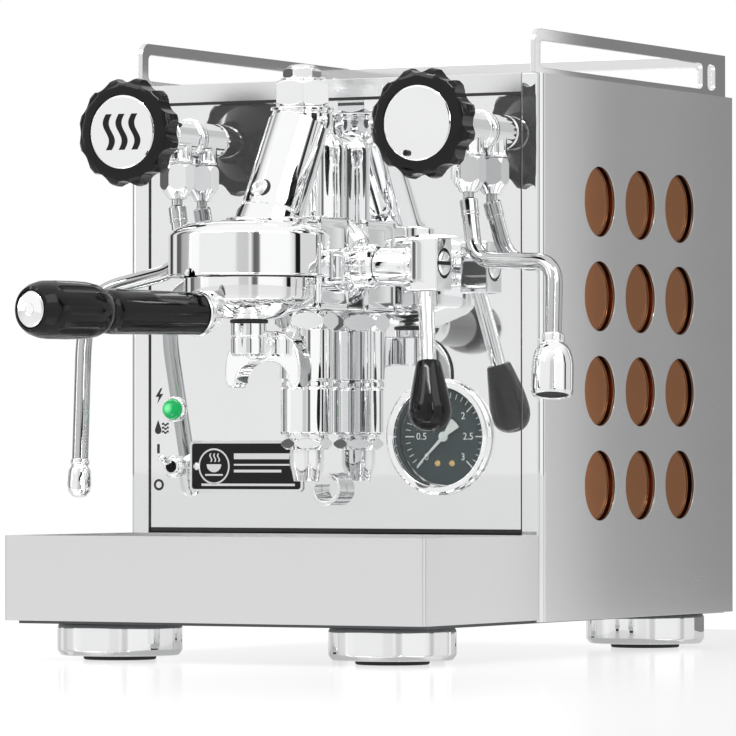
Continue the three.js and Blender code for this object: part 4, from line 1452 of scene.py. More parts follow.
    def lower_valve(self) -> None:
        """The lower valve: nut, barrel, knurled ring, rounded hexagon and outlet cone."""
        axis = Spindle(Vector((0.0, self.chamber_y, 0.0)))
        nut = self.bench.nut("lower_valve_nut", axis, 190, 201.2, 18.5, 4.2)
        barrel = self.bench.lathe("lower_barrel", axis, [
            (0, 190.6), (16, 190.6), (16, 162), (14.6, 161), (14.6, 157), (15.3, 156),
            (15.3, 131), (14.4, 129.7), (0, 129.7),
        ], rim=0.3, steps=96)
        self.bench.finish(self.bench.weld(nut, barrel), CHROME, "machine", "lower_valve")
        knurl = self.bench.lathe("lower_valve_knurl", axis, [
            (0, 157.4), (15.2, 157.4), (15.8, 158), (15.8, 160), (15.2, 160.6), (0, 160.6),
        ], steps=96)
        tooth = self.bench.rod("tooth", (16.2, self.chamber_y, 156.5),
                               (16.2, self.chamber_y, 161.5), 0.62, sides=6)
        self.bench.circle_of(tooth, axis, 60)
        self.bench.finish(self.bench.carve(knurl, tooth), CHROME, "machine")
        hexagon = self.bench.nut("valve_outlet_nut", axis, 121, 127.8, 14.8, 2.8)
        cone = self.bench.lathe("cone", axis, [
            (0, 129.4), (12.6, 129.4), (12.6, 127.4), (12, 121.5), (10, 121), (10, 112.4),
            (7.4, 102.6), (4.9, 102.6), (4.5, 103.4), (4.5, 116), (0, 116),
        ], rim=0.25)
        self.bench.finish(self.bench.weld(hexagon, cone), CHROME, "machine")


@dataclass
class BrewLever:
    """The brew lever: cross shaft, square block, splayed rod and teardrop grip."""

    bench: Bench
    hub: Vector = field(default_factory=lambda: Vector((76.4, -29.25, 226.7)))
    shaft_y: float = -31.0
    lean: float = 14.3
    splay: float = 9.8

    def build(self) -> None:
        """Model and dress the lever."""
        along = Vector((
            math.tan(math.radians(self.splay)), -math.tan(math.radians(self.lean)), -1.0
        )).normalized()
        line = Spindle(self.hub, along)
        self.shaft(line)
        rod = self.bench.lathe("lever_rod_turned", line, [
            (0, 8.5), (4.6, 8.5), (4.6, 58.2), (0, 58.2),
        ], steps=48)
        self.bench.finish(rod, CHROME, "brew_lever", "lever_rod")
        grip = self.bench.lathe("lever_teardrop", line, [
            (0, 58.5), (6.4, 58.5), (7.2, 59.4), (8.2, 64), (10.0, 73), (11.5, 80.5), (12.2, 85.5),
            (12.3, 89), (11.7, 92.3), (10.3, 95.1), (8.1, 97.4), (5.4, 98.8), (2.6, 99.4), (0, 99.5),
        ], steps=72)
        self.bench.finish(grip, BLACK_PLASTIC, "brew_lever", "lever_grip")

    def shaft(self, line: Spindle) -> None:
        """The cross shaft and the bevelled block that holds the rod.

        Args:
            line: The lever rod's own axis.
        """
        y, z = self.shaft_y, self.hub.z
        axis = Spindle(Vector((0.0, y, z)), RIGHT)
        shaft = self.bench.lathe("lever_cross_shaft", axis, [
            (0, 47.8), (9.6, 47.8), (9.6, 50), (11, 50.6), (11, 67.5), (10.3, 68.1), (10.3, 69),
            (11, 69.6), (11, 73), (0, 73),
        ], rim=0.2)
        block = self.bench.brick("block", (72, y - 9.5, z - 14.7), (90, y + 9.5, z + 15.7), 0)
        self.bench.soften(block, 1.1, segments=3)
        pocket = self.bench.rod("pocket", (87.2, y, z + 1), (95, y, z + 1), 8.7)
        self.bench.carve(block, pocket)
        socket = self.bench.rod("socket", line.at(0, 8.2), line.at(0, 40), 5.2)
        self.bench.carve(block, socket)
        self.bench.soften(block, 0.3, angle=50, segments=2)
        self.bench.finish(self.bench.weld(shaft, block), CHROME, "brew_lever", "lever_shaft")
        cap = self.bench.lathe("lever_block_cap", Spindle(Vector((0.0, y, z + 1.0)), RIGHT), [
            (0, 87.3), (7.1, 87.3), (7.1, 89.8), (6.2, 90.8), (0, 91.1),
        ], rim=0.2)
        slot = self.bench.brick("slot", (88.6, y - 9, z - 0.1), (93, y + 9, z + 2.1), 0)
        self.bench.finish(self.bench.carve(cap, slot), CHROME, "brew_lever")
        # Painted shade: a black ring fills the gap between the cap and its pocket, standing in for the
        # shadow in the recess.
        washer = self.bench.lathe("lever_block_cap_shade_ring", Spindle(Vector((0.0, y, z + 1.0)), RIGHT), [
            (0, 86.8), (8.6, 86.8), (8.6, 88.4), (8.2, 88.8), (0, 88.8),
        ], rim=0.2)
        self.bench.finish(washer, RUBBER_AND_PAINTED_SHADE, "brew_lever")


@dataclass
class Portafilter:
    """The portafilter: bowl, handle, end cap and the double spout."""

    bench: Bench
    centre: Vector = field(default_factory=lambda: Vector((0.0, -99.4, 0.0)))
    turn: float = -13.5
    handle_z: float = 197.5
    body: str = "filter_holder"

    def __post_init__(self) -> None:
        """Work out which way the handle points and which way is across it."""
        angle = math.radians(self.turn)
        self.out = Vector((math.sin(angle), -math.cos(angle), 0.0))
        self.across = Vector((math.cos(angle), math.sin(angle), 0.0))
        self.line = Spindle(self.centre + Vector((0, 0, self.handle_z)), self.out)

    def build(self) -> None:
        """Model and dress the portafilter."""
        axis = Spindle(self.centre)
        bowl = self.bench.lathe("portafilter_bowl", axis, [
            (4, 194), (9.5, 194), (19, 196.3), (33.2, 202.4), (36.6, 205.8), (37.3, 208.2), (37.3, 218.7),
            (36.5, 219.4), (36.5, 228), (30, 228), (30, 207), (10, 200), (4, 199), (4, 194),
        ], rim=0.5, steps=128)
        self.bench.finish(bowl, CHROME, self.body, "portafilter")
        gasket = self.bench.lathe("bowl_foot_gasket", axis, [
            (8, 193.0), (10.9, 193.0), (10.9, 194.3), (8, 194.3), (8, 193.0),
        ], rim=0.2)
        self.bench.finish(gasket, RUBBER_AND_PAINTED_SHADE, self.body)
        neck = self.bench.lathe("portafilter_neck", self.line, [
            (0, 31), (9.6, 31), (10.2, 34.5), (12.2, 38.5), (12.9, 41.5), (12.9, 43.4), (12.3, 44.5),
            (0, 44.5),
        ], steps=72)
        self.bench.finish(neck, CHROME, self.body)
        self.handle()
        self.spout()

    def handle(self) -> None:
        """The black handle, fluted along its fat part, and its bright end cap."""
        grip = self.bench.lathe("handle_grip", self.line, [
            (0, 44.8), (11.4, 44.8), (12, 45.6), (12.3, 70), (12.6, 100), (12.8, 112), (12.4, 116.5),
            (11.4, 118.8), (11.6, 120.6), (13.2, 123.4), (14.9, 128), (16, 136), (16.3, 146),
            (16.3, 161), (15.8, 167.5), (14.4, 172.6), (12.6, 175.6), (10.9, 176.2), (10.6, 175.4),
            (10.6, 173.5), (0, 173.5),
        ], steps=96)
        across = self.line.at(19.6, 0) - self.line.foot
        flute = self.bench.pipe("flute", [
            self.line.foot + across * 1.28 + self.out * 124, self.line.foot + across + self.out * 133,
            self.line.foot + across + self.out * 165, self.line.foot + across * 1.28 + self.out * 173,
        ], 6, 4.6)
        self.bench.circle_of(flute, self.line, 8)
        self.bench.carve(grip, flute)
        self.bench.soften(grip, 0.5, angle=26, segments=3)
        self.bench.finish(grip, BLACK_PLASTIC, self.body, "portafilter_handle")
        cap = self.bench.lathe("handle_end_disc", self.line, [
            (0, 173.8), (10.1, 173.8), (10.1, 176.2), (9.2, 177.0), (3.4, 177.4), (3.0, 177.0),
            (0, 177.0),
        ], rim=0.2, steps=48)
        self.bench.finish(cap, CHROME, self.body, "handle_end_cap")

    def spout(self) -> None:
        """The spout: a ringed hub and two open channels raked away from the handle."""
        hub = self.bench.lathe("spout_hub", Spindle(self.centre), [
            (0, 174), (9, 174), (10.5, 175.5), (10.5, 184.2), (10, 184.6), (10, 185.4), (10.5, 185.8),
            (10.5, 192.7), (0, 192.7),
        ], rim=0.25)
        self.bench.finish(hub, CHROME, self.body)
        self.fork()

    def fork(self) -> None:
        """The cast fork under the hub: two arms that curve down, each an open channel."""
        def at(back: float, aside: float, z: float) -> Vector:
            """A point measured away from the handle and across it."""
            return self.centre - self.out * back + self.across * aside + Vector((0, 0, z))

        turns = [math.radians(turn) for turn in range(0, 91, 5)]
        top = [(10 + 18.8 * math.sin(turn), 166 + 22.5 * math.cos(turn)) for turn in turns]
        under = [(5 + 15.5 * math.sin(turn), 159 + 12 * math.cos(turn)) for turn in turns]
        half = [*top, (28.6, 160.5), (26.2, 156.8), (22.6, 156.2), *reversed(under)]
        whole = half + [(-aside, z) for aside, z in reversed(half)]
        fork = self.bench.slab(
            "spout_fork", [at(10.6, aside, z) for aside, z in whole], self.out * -11.4
        )
        neck = self.bench.rod("neck", at(2, 0, 179.8), at(14, 0, 179.8), 7.6)
        self.bench.carve(fork, neck, Cut.ADD)
        self.bench.soften(fork, 1.3, angle=50)
        for side in Side:
            floor = [(10 + 14 * math.sin(turn), 164 + 20 * math.cos(turn)) for turn in turns]
            groove = self.bench.slab("groove", [
                at(12.2, side.value * aside, z)
                for aside, z in (*floor, (24, 150), (36, 150), (36, 194), (10, 194))
            ], self.out * -8.2)
            self.bench.carve(fork, groove)
        self.bench.soften(fork, 0.25, angle=50, segments=2)
        self.bench.finish(fork, CHROME, self.body, "portafilter_spout")
        foot = self.bench.datum.at(self.centre)

        def on_floor(middle: Vector, normal: Vector) -> bool:
            """Say whether a face is on the floor of a channel.

            Args:
                middle: The face's middle, in metres.
                normal: The face's normal.

            Returns:
                True for a face on a channel's floor.
            """
            aside = abs((middle - foot).dot(self.across)) / MM - 10
            reach = math.hypot(max(aside, 0) / 14, max(middle.z / MM - 164, 0) / 20)
            return aside > -1 and 0.97 < reach < 1.03 and abs(normal.dot(self.out)) < 0.3

        # Painted shade: the channels' floors take the darker wand steel, so they read as a grey band
        # inside the chrome channels.
        self.bench.reface(fork, WAND_STEEL_AND_PAINTED_SHADE, on_floor)


# ---- front fittings --------------------------------------------------------------------


@dataclass
class PressureGauge:
    """The pressure gauge, its dial marks and needle."""

    bench: Bench
    x: float = 70.7
    z: float = 128.5
    dial_y: float = 6.8
    zero: float = 225.0
    step: float = -45.0
    numbers: tuple[str, ...] = ("0", "0.5", "1", "1.5", "2", "2.5", "3")

    def build(self) -> None:
        """Model and dress the gauge."""
        axis = Spindle(Vector((self.x, 0.0, self.z)), BACK)
        case = self.bench.lathe("gauge_bezel", axis, [
            (0, 26), (30.5, 26), (30.5, 0.7), (34, 0.7), (34, -1.0), (33.2, -1.6), (33.7, -2.3),
            (33.2, -3.1), (32.2, -3.5), (29.4, -3.0), (28.8, -2.5), (28.8, 8), (0, 8),
        ], rim=0.2, steps=128)
        self.bench.finish(case, CHROME, "machine", "gauge_case")
        self.bench.dress(DIAL_PAINT, "gauge_dial")
        self.bench.dress(GLASS, "gauge_glass")
        self.marks()
        self.needle()
        self.rivets()

    def at(self, radius: float, angle: float, y: float) -> Vector:
        """A point over the dial."""
        across, up = polar(radius, angle)
        return Vector((self.x + across, y, self.z + up))

    def marks(self) -> None:
        """The scale's strokes and numbers, printed on the dial."""
        strokes = []
        for tick in range(31):
            angle = self.zero + tick * self.step / 5
            long = tick % 5 == 0
            start, half = (20.0, 0.36) if long else (22.6, 0.2)
            aside = Vector((*polar(half, angle + 90), 0.0)).xzy
            inner, outer = self.at(start, angle, self.dial_y), self.at(25.8, angle, self.dial_y)
            outline = [inner - aside, outer - aside, outer + aside, inner + aside]
            strokes.append(self.bench.slab("stroke", outline, Vector((0, -0.12, 0))))
        for number, words in enumerate(self.numbers):
            radius = 15.2 if "." in words else 16.8
            middle = self.at(radius, self.zero + number * self.step, self.dial_y - 0.06)
            strokes.append(self.bench.writing("number", words, middle, 4.1, 0.12))
        scale = self.bench.weld(*strokes)
        scale.name = "gauge_scale"
        self.bench.finish(scale, PALE_PAINT, "machine")

    def needle(self) -> None:
        """The needle with its fan-shaped tail, pointing to no pressure."""
        back, thick = self.dial_y - 1.6, Vector((0, -0.7, 0))
        angle = self.zero

        def turned(points: Profile) -> list[Vector]:
            """Points along and across the needle, as places over the dial.

            Args:
                points: Points as (along, aside), in mm.

            Returns:
                The places, in the same order.
            """
            return [
                self.at(math.hypot(along, aside), angle + math.degrees(math.atan2(aside, along)), back)
                for along, aside in points
            ]

        blade = self.bench.slab("gauge_needle_blade", turned([
            (24.0, -0.2), (24.0, 0.2), (2.0, 0.95), (2.0, -0.95),
        ]), thick)
        hub = self.bench.slab("hub", turned([polar(2.9, step * 15) for step in range(24)]), thick * 1.3)
        arc = [(-11.5 * math.cos(math.radians(a)), 11.5 * math.sin(math.radians(a)))
               for a in range(-19, 20, 4)]
        tail = self.bench.slab("tail", turned([(-1.5, -1.1), *arc, (-1.5, 1.1)]), thick)
        boss = self.bench.lathe("boss", Spindle(Vector((self.x, 0.0, self.z)), BACK), [
            (0, back - 1.8), (1.1, back - 1.6), (1.3, back - 1.1), (1.3, back + 0.2), (0, back + 0.2),
        ], steps=24)
        needle = self.bench.weld(blade, hub, tail, boss)
        self.bench.finish(needle, PALE_PAINT, "needle", "gauge_needle")

    def rivets(self) -> None:
        """The two brass rivets that hold the dial."""
        face = self.dial_y
        pins = [
            self.bench.lathe("gauge_rivets", Spindle(Vector((self.x + x, face, self.z - 15.5)), BACK), [
                (0, -0.5), (0.5, -0.5), (0.8, -0.8), (1.5, -0.7), (1.9, -0.3), (1.9, 0.1), (0, 0.1),
            ], steps=24)
            for x in (-4.7, 4.7)
        ]
        self.bench.finish(self.bench.weld(*pins), BRASS, "machine")


@dataclass
class Controls:
    """The lamp, toggle switch, badge, drain and the marks on the mirror panel."""

    bench: Bench
    face: float = 1.0
    lamp: tuple[float, float] = (-106.5, 145.0)
    toggle: tuple[float, float] = (-106.0, 111.0)
    badge: tuple[float, float, float, float] = (-95.6, -19.4, 96.1, 126.3)

    def build(self) -> None:
        """Model and dress the controls."""
        self.pilot_lamp()
        self.toggle_switch()
        self.badge_plate()
        self.drain()
        self.marks()

    def pilot_lamp(self) -> None:
        """The green lamp: a domed lens in a thin bright ring."""
        x, z = self.lamp
        axis = Spindle(Vector((x, 0.0, z)), BACK)
        lens = LampFinish(
            "green_lamp_lens", "green_lens", (0.0, 0.22, 0.055), roughness=0.08, specular=0.35,
            grain=300.0, relief=0.03, glow=1.0, reach=0.0045, core=(0.3, 1.0, 0.45),
            middle=self.bench.datum.at((x - 0.6, -7.6, z + 0.6)),
        )
        dome = self.bench.lathe("pilot_lamp_dome", axis, [
            (0, 14), (5, 14), (5, -0.9), (6, -1.2), (5.9, -3.4), (5.1, -5.2), (3.6, -6.6),
            (1.9, -7.2), (0, -7.4),
        ], steps=48)
        self.bench.finish(dome, lens, "machine", "pilot_lamp")
        ring = self.bench.lathe("pilot_lamp_ring", axis, [
            (5.2, 0.7), (7.5, 0.7), (7.5, -0.6), (6.8, -1.7), (6.1, -1.7), (5.2, -0.7), (5.2, 0.7),
        ], rim=0.2, steps=48)
        self.bench.finish(ring, CHROME, "machine")

    def toggle_switch(self) -> None:
        """The toggle: a round nut, a threaded bush and the bat."""
        x, z = self.toggle
        axis = Spindle(Vector((x, 0.0, z)), BACK)
        nut = self.bench.lathe("toggle_bush", axis, [
            (3.6, -4.6), (4.6, -4.6), (5, -4.2), (5, -3.1), (5.9, -3.1), (6.5, -2.5), (6.5, -1.6),
            (6.1, -1.3), (6.5, -1.0), (6.5, 0.7), (5, 0.7), (5, 14), (3.6, 14), (3.6, -4.6),
        ], rim=0.15, steps=48)
        switch = self.bench.brick("switch_block", (x - 7, 13, z - 11), (x + 7, 34, z + 11), 0.8)
        self.bench.finish(self.bench.weld(nut, switch), CHROME, "machine", "toggle_body")
        well = self.bench.lathe("toggle_well", axis, [
            (0, 0.6), (3.5, 0.6), (3.5, -2.0), (3.3, -2.0), (2.6, -0.5), (0, -0.2),
        ], steps=32)
        self.bench.finish(well, RUBBER_AND_PAINTED_SHADE, "machine")
        tilt = math.radians(18)
        line = Spindle(Vector((x, 0.0, z)), Vector((0.0, -math.cos(tilt), math.sin(tilt))))
        bat = self.bench.lathe("toggle_lever", line, [
            (0, -1.5), (1.4, -1.5), (1.5, 4), (1.9, 10), (2.4, 14.4), (2.3, 16), (1.7, 17), (0.8, 17.4),
            (0, 17.5),
        ], steps=40)
        self.bench.finish(bat, CHROME, "toggle_bat", "power_toggle")

    def badge_plate(self) -> None:
        """The badge: a bright frame with rounded corners, a black field and a screw tab."""
        x0, x1, z0, z1 = self.badge
        plate = self.bench.brick("badge_frame", (x0, -0.5, z0), (x1, 0.7, z1), 0)
        self.bench.pick_edges(plate, lambda a, b: abs(a.x - b.x) < WELD and abs(a.z - b.z) < WELD)
        bpy.ops.mesh.bevel(offset=3.0 * MM, segments=6, affect="EDGES")
        self.bench.close(plate)
        self.bench.pick_faces(plate, lambda middle, normal: normal.y < -0.9)
        bpy.ops.mesh.inset(thickness=1.3 * MM, depth=-0.35 * MM)
        self.bench.close(plate)
        self.bench.soften(plate, 0.12, angle=40, segments=2)
        self.bench.finish(plate, TRAY_STEEL, "machine", "badge_plate")
        inset = 1.6
        field_ = self.bench.brick("badge_field", (x0 + inset, -0.42, z0 + inset),
                                  (x1 - inset, 0.3, z1 - inset), 0)
        self.bench.pick_edges(field_, lambda a, b: abs(a.x - b.x) < WELD and abs(a.z - b.z) < WELD)
        bpy.ops.mesh.bevel(offset=1.8 * MM, segments=5, affect="EDGES")
        self.bench.close(field_)
        self.bench.finish(field_, BLACK_PLASTIC, "machine")
        self.badge_mark()

    def badge_mark(self) -> None:
        """A generic mark on the badge: a steaming cup and a plain line."""
        x0, x1, z0, z1 = self.badge
        x, z = (x0 + x1) / 2, (z0 + z1) / 2
        y, thick = -0.42, Vector((0, -0.12, 0))

        def line_up(points: Profile) -> list[Vector]:
            """Points over the badge's middle, as places on its field."""
            return [Vector((x + right, y, z + up)) for right, up in points]

        left = -21.5
        bowl = [polar(5.0, angle) for angle in range(180, 361, 15)]
        cup = self.bench.slab("badge_mark", line_up([
            (left + px, pz * 0.95 + 1.2) for px, pz in bowl
        ]), thick)
        saucer = self.bench.slab("saucer", line_up([
            (left - 6, -5.6), (left + 6, -5.6), (left + 6, -4.6), (left - 6, -4.6),
        ]), thick)
        ear = self.bench.lathe("ear", Spindle(Vector((x + left, y, z)), BACK), [
            (9.6, -0.12), (10.6, -0.12), (10.6, 0), (9.6, 0), (9.6, -0.12),
        ], steps=48)
        plumes = []
        for column in (-2.6, 0, 2.6):
            wave = [
                (left + column + 0.6 * math.sin(step * math.tau / 10), 2.6 + step * 0.5)
                for step in range(11)
            ]
            edge = [(px + 0.9, pz) for px, pz in reversed(wave)]
            plumes.append(self.bench.slab("plume", line_up([*wave, *edge]), thick))
        bars = [
            self.bench.slab("bar", line_up([
                (a, up), (b, up), (b, up + tall), (a, up + tall),
            ]), thick)
            for a, b, up, tall in ((-8, 33, 4.2, 3.4), (-8, 33, 0.4, 1.0), (-8, 24, -3.6, 1.6),
                                   (-30, 33, -11.6, 1.4))
        ]
        mark = self.bench.weld(cup, saucer, ear, *plumes, *bars)
        self.bench.finish(mark, TRAY_STEEL, "machine")
        tab = self.bench.lathe("badge_screw", Spindle(Vector((x0 + 4.6, 0.0, z)), BACK), [
            (0, -0.9), (1.9, -0.8), (2.4, -0.3), (2.4, 0.2), (0, 0.2),
        ], steps=32)
        self.bench.finish(tab, CHROME, "machine")

    def drain(self) -> None:
        """The open lip under the valve outlet, cut from a ring."""
        axis = Spindle(Vector((0.0, 0.0, 98.0)), BACK)
        lip = self.bench.lathe("drain_lip", axis, [
            (7.2, -8.4), (9.7, -8.4), (9.7, 0.7), (7.2, 0.7), (7.2, -8.4),
        ], rim=0.35, steps=72)
        wedge = self.bench.slab("wedge", [
            Vector((0, -12, 98)), *(Vector((0, -12, 98)) + Vector((*polar(14, angle), 0)).xzy
                                    for angle in (80, 100, 120, 140, 160)),
        ], Vector((0, 20, 0)))
        self.bench.carve(lip, wedge)
        self.bench.finish(lip, MIRROR_STEEL, "machine", "drain_spout")

    def marks(self) -> None:
        """The printed marks beside the lamp and the switch: mains, water, on and off."""
        y, thick = self.face - 0.02, Vector((0, -0.12, 0))

        def place(x: float, z: float, points: Profile) -> list[Vector]:
            """Points round a mark's middle, as places on the panel."""
            return [Vector((x + right, y, z + up)) for right, up in points]

        bolt = self.bench.slab("panel_marks", place(-117.2, 153.1, [
            (0.9, 4.5), (-2.6, -0.7), (-0.3, -0.7), (-1.3, -4.5), (2.6, 1.1), (0.3, 1.1), (2.0, 4.5),
        ]), thick)
        drop = self.bench.slab("drop", place(-118.0, 134.4, [
            (0, 4.3), *((2.2 * math.sin(math.radians(a)), -1.9 - 2.2 * math.cos(math.radians(a)))
                        for a in range(110, -111, -20)),
        ]), thick)
        waves = []
        for row in range(3):
            wave = [(step * 0.23 - 2.3, 0.55 * math.sin(step * math.tau / 14)) for step in range(21)]
            edge = [(px, pz - 1.15) for px, pz in reversed(wave)]
            waves.append(self.bench.slab("wave", place(-113.1, 136.6 - row * 2.3, [*wave, *edge]), thick))
        bar = self.bench.slab("bar", place(-117.8, 121.6, [
            (-0.85, -2.75), (0.85, -2.75), (0.85, 2.75), (-0.85, 2.75),
        ]), thick)
        ring = self.bench.lathe("ring", Spindle(Vector((-117.5, 0.0, 100.2)), BACK), [
            (2.0, y - 0.12), (3.4, y - 0.12), (3.4, y), (2.0, y), (2.0, y - 0.12),
        ], steps=40)
        self.bench.finish(self.bench.weld(bolt, drop, *waves, bar, ring), RUBBER_AND_PAINTED_SHADE, "machine")


# ---- studio ----------------------------------------------------------------------------


@dataclass(frozen=True)
class Card:
    """A card near the machine that only reflections see."""

    azimuth: float
    width: float
    tone: float
    distance: float = 1.6
    low: float = -0.05
    high: float = 2.4


@dataclass
class Studio:
    """A pale floor, plain soft light, a banded surround and the camera."""

    datum: Datum
    cards: tuple[Card, ...] = (Card(166.0, 0.43, 0.24, distance=0.564, low=0.0, high=0.9),)
    surround: tuple[tuple[float, float], ...] = (
        (-140, 0.72), (-126, 0.65), (-122, 0.05), (-112, 0.06), (-109, 0.75),
        (-98, 0.8), (-96, 0.1), (-86, 0.14), (-82, 0.42), (-68, 0.5), (-64, 1.0), (-48, 1.0),
        (-45, 0.88), (9, 0.88), (13, 0.62), (27, 0.6), (31, 0.9), (36, 0.12),
        (43, 0.16), (46, 1.0), (88, 1.0), (98, 0.68), (99, 0.01), (107, 0.01), (108, 0.7),
        (143, 0.7), (146, 0.2), (150, 0.22), (152, 1.1), (185, 1.1), (196, 0.8),
    )

    def build(self) -> None:
        """Set up the studio."""
        bpy.context.scene.view_settings.view_transform = "Standard"
        self.world()
        self.floor()
        for number, card in enumerate(self.cards):
            self.card(number, card)
        self.lights()
        self.camera()

    def world(self) -> None:
        """White light all round, with upright grey bands that only reflections see."""
        world = bpy.data.worlds.new("white_studio")
        bpy.context.scene.world = world
        world.use_nodes = True
        tree = world.node_tree
        sky = tree.nodes["Background"]
        place = tree.nodes.new("ShaderNodeTexCoord")
        parts = tree.nodes.new("ShaderNodeSeparateXYZ")
        turned = tree.nodes.new("ShaderNodeMath")
        turned.operation = "MULTIPLY"
        turned.inputs[1].default_value = -1.0
        angle = tree.nodes.new("ShaderNodeMath")
        angle.operation = "ARCTAN2"
        share = tree.nodes.new("ShaderNodeMapRange")
        share.inputs["From Min"].default_value = -math.pi
        share.inputs["From Max"].default_value = math.pi
        ramp = tree.nodes.new("ShaderNodeValToRGB")
        stops = ramp.color_ramp.elements
        stops.remove(stops[0])
        bands = sorted(((azimuth + 180) % 360 / 360, tone) for azimuth, tone in self.surround)
        for position, tone in bands:
            stop = stops.new(position)
            stop.color = (tone, tone, tone, 1.0)
        stops.remove(stops[-1])
        height = tree.nodes.new("ShaderNodeMapRange")
        height.interpolation_type = "SMOOTHSTEP"
        height.inputs["From Min"].default_value = 0.45
        height.inputs["From Max"].default_value = 0.8
        path = tree.nodes.new("ShaderNodeLightPath")
        plain = tree.nodes.new("ShaderNodeMath")
        plain.operation = "SUBTRACT"
        plain.inputs[0].default_value = 1.0
        whiter = tree.nodes.new("ShaderNodeMath")
        whiter.operation = "MAXIMUM"
        mix = tree.nodes.new("ShaderNodeMix")
        mix.data_type = "RGBA"
        mix.inputs["B"].default_value = (1.0, 1.0, 1.0, 1.0)
        link = tree.links.new
        link(place.outputs["Generated"], parts.inputs["Vector"])
        link(parts.outputs["Y"], turned.inputs[0])
        link(parts.outputs["X"], angle.inputs[0])
        link(turned.outputs["Value"], angle.inputs[1])
        link(angle.outputs["Value"], share.inputs["Value"])
        link(share.outputs["Result"], ramp.inputs["Fac"])
        link(parts.outputs["Z"], height.inputs["Value"])
        link(path.outputs["Is Glossy Ray"], plain.inputs[1])
        link(plain.outputs["Value"], whiter.inputs[0])
        link(height.outputs["Result"], whiter.inputs[1])
        link(whiter.outputs["Value"], mix.inputs["Factor"])
        link(ramp.outputs["Color"], mix.inputs["A"])
        link(mix.outputs["Result"], sky.inputs["Color"])

    def floor(self) -> None:
        """A large white floor with a soft gloss."""
        bpy.ops.object.select_all(action="DESELECT")
        bpy.ops.mesh.primitive_plane_add(size=60.0, location=(0.0, 0.0, 0.0))
        floor = bpy.context.active_object
        floor.name = "studio_floor"
        made = bpy.data.materials.new("white_floor")
        made.use_nodes = True
        tree = made.node_tree
        shader = tree.nodes["Principled BSDF"]
        shader.inputs["Base Color"].default_value = (0.2, 0.2, 0.2, 1.0)
        shader.inputs["Roughness"].default_value = 1.0
        shader.inputs["Specular IOR Level"].default_value = 0.0
        shader.inputs["Emission Color"].default_value = (1.0, 1.0, 1.0, 1.0)
        path = tree.nodes.new("ShaderNodeLightPath")
        strength = tree.nodes.new("ShaderNodeMapRange")
        strength.inputs["To Min"].default_value = 1.1
        strength.inputs["To Max"].default_value = 0.68
        tree.links.new(path.outputs["Is Glossy Ray"], strength.inputs["Value"])
        tree.links.new(strength.outputs["Result"], shader.inputs["Emission Strength"])
        gloss = tree.nodes.new("ShaderNodeBsdfGlossy")
        gloss.inputs["Roughness"].default_value = 0.12
        mix = tree.nodes.new("ShaderNodeMixShader")
        mix.inputs["Fac"].default_value = 0.4
        tree.links.new(shader.outputs["BSDF"], mix.inputs[1])
        tree.links.new(gloss.outputs["BSDF"], mix.inputs[2])
        tree.links.new(mix.outputs["Shader"], tree.nodes["Material Output"].inputs["Surface"])
        floor.data.materials.append(made)

    def card(self, number: int, card: Card) -> None:
        """Stand one card up, facing the machine.

        Args:
            number: its number, for its name.
            card: its place, size and tone.
        """
        angle = math.radians(card.azimuth)
        middle = (
            math.sin(angle) * card.distance, -math.cos(angle) * card.distance,
            (card.low + card.high) / 2,
        )
        bpy.ops.object.select_all(action="DESELECT")
        bpy.ops.mesh.primitive_plane_add(
            size=1.0, location=middle, rotation=(math.radians(90), 0.0, angle),
            scale=(card.width, card.high - card.low, 1.0),
        )
        piece = bpy.context.active_object
        piece.name = f"studio_card_{number}"
        piece.scale = (card.width, card.high - card.low, 1.0)
        made = bpy.data.materials.new(f"card_{number}")
        made.use_nodes = True
        tree = made.node_tree
        tree.nodes.remove(tree.nodes["Principled BSDF"])
        light = tree.nodes.new("ShaderNodeEmission")
        light.inputs["Color"].default_value = (card.tone, card.tone, card.tone, 1.0)
        tree.links.new(light.outputs["Emission"], tree.nodes["Material Output"].inputs["Surface"])
        piece.data.materials.append(made)
        piece.visible_camera = False
        piece.visible_diffuse = False
        piece.visible_shadow = False
        piece.visible_transmission = False

    def lights(self) -> None:
        """Two large soft lights from above."""
        for name, place, power, size in (
            ("key_light", (-1.2, -1.8, 2.1), 16.0, (1.4, 1.4)),
            ("fill_light", (1.9, -0.6, 2.0), 12.0, (1.6, 1.6)),
            ("left_edge_light", (-1.5, -0.9, 0.75), 1.5, (0.07, 1.1)),
            ("right_edge_light", (1.1, -1.2, 0.9), 2.0, (0.05, 0.9)),
            ("top_edge_light", (0.1, -0.9, 1.5), 6.0, (1.0, 0.06)),
        ):
            bpy.ops.object.light_add(type="AREA", location=place)
            lamp = bpy.context.active_object
            lamp.name = name
            lamp.data.energy = power
            lamp.data.shape = "RECTANGLE"
            lamp.data.size, lamp.data.size_y = size
            aim = Vector((0.0, 0.0, 0.18)) - Vector(place)
            lamp.rotation_euler = aim.to_track_quat("-Z", "Y").to_euler()

    def camera(self) -> None:
        """The camera, far off with a long lens, a little to the right."""
        bpy.ops.object.camera_add()
        camera = bpy.context.active_object
        camera.location = self.datum.at((1591.4, -2946.9, 116.7))
        camera.rotation_euler = (math.radians(90.89), 0.0, math.radians(28.01))
        camera.data.sensor_width = 36.0
        camera.data.lens = 280.12
        camera.data.clip_end = 200.0
        bpy.context.scene.camera = camera


STEAM_ROUTE = (
    (-96.6, -13.7, 264.5), (-91.0, -15.5, 228.0), (-134.0, -45.0, 214.0),
    (-139.5, -49.0, 190.0), (-134.2, -62.1, 115.3),
)
WATER_ROUTE = (
    (96.6, -13.7, 264.5), (104.0, -20.0, 229.5), (161.6, -33.5, 227.5), (165.0, -42.6, 183.0),
)


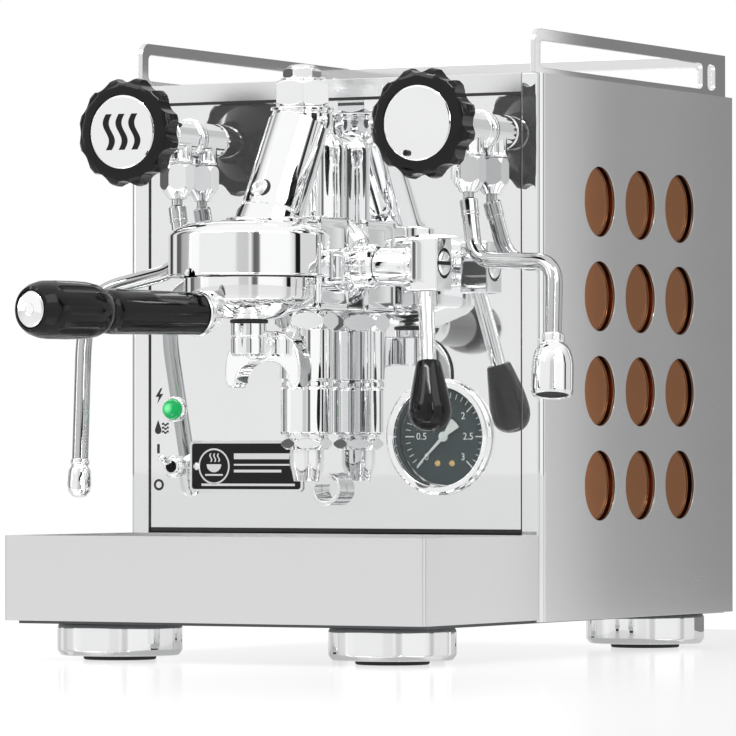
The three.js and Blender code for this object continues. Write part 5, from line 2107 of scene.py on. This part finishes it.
def main() -> None:
    """Build the machine round its frame, then the studio."""
    logging.basicConfig(level=logging.INFO, format="%(name)s: %(message)s")
    datum = Datum()
    Studio(datum).build()
    bench = Bench(datum, Palette())
    for part in (
        Casing(bench),
        CupRail(bench),
        Feet(bench),
        DripTray(bench),
        SteamValve(bench, Side.LEFT, "steam", "steam_arm", STEAM_ROUTE, 16.0),
        WaterValve(bench, Side.RIGHT, "water", "water_arm", WATER_ROUTE, 14.0),
        BrewGroup(bench),
        BrewLever(bench),
        Portafilter(bench),
        PressureGauge(bench),
        Controls(bench),
    ):
        part.build()
        log.info("%s is done", type(part).__name__)


if __name__ == "__main__":
    main()
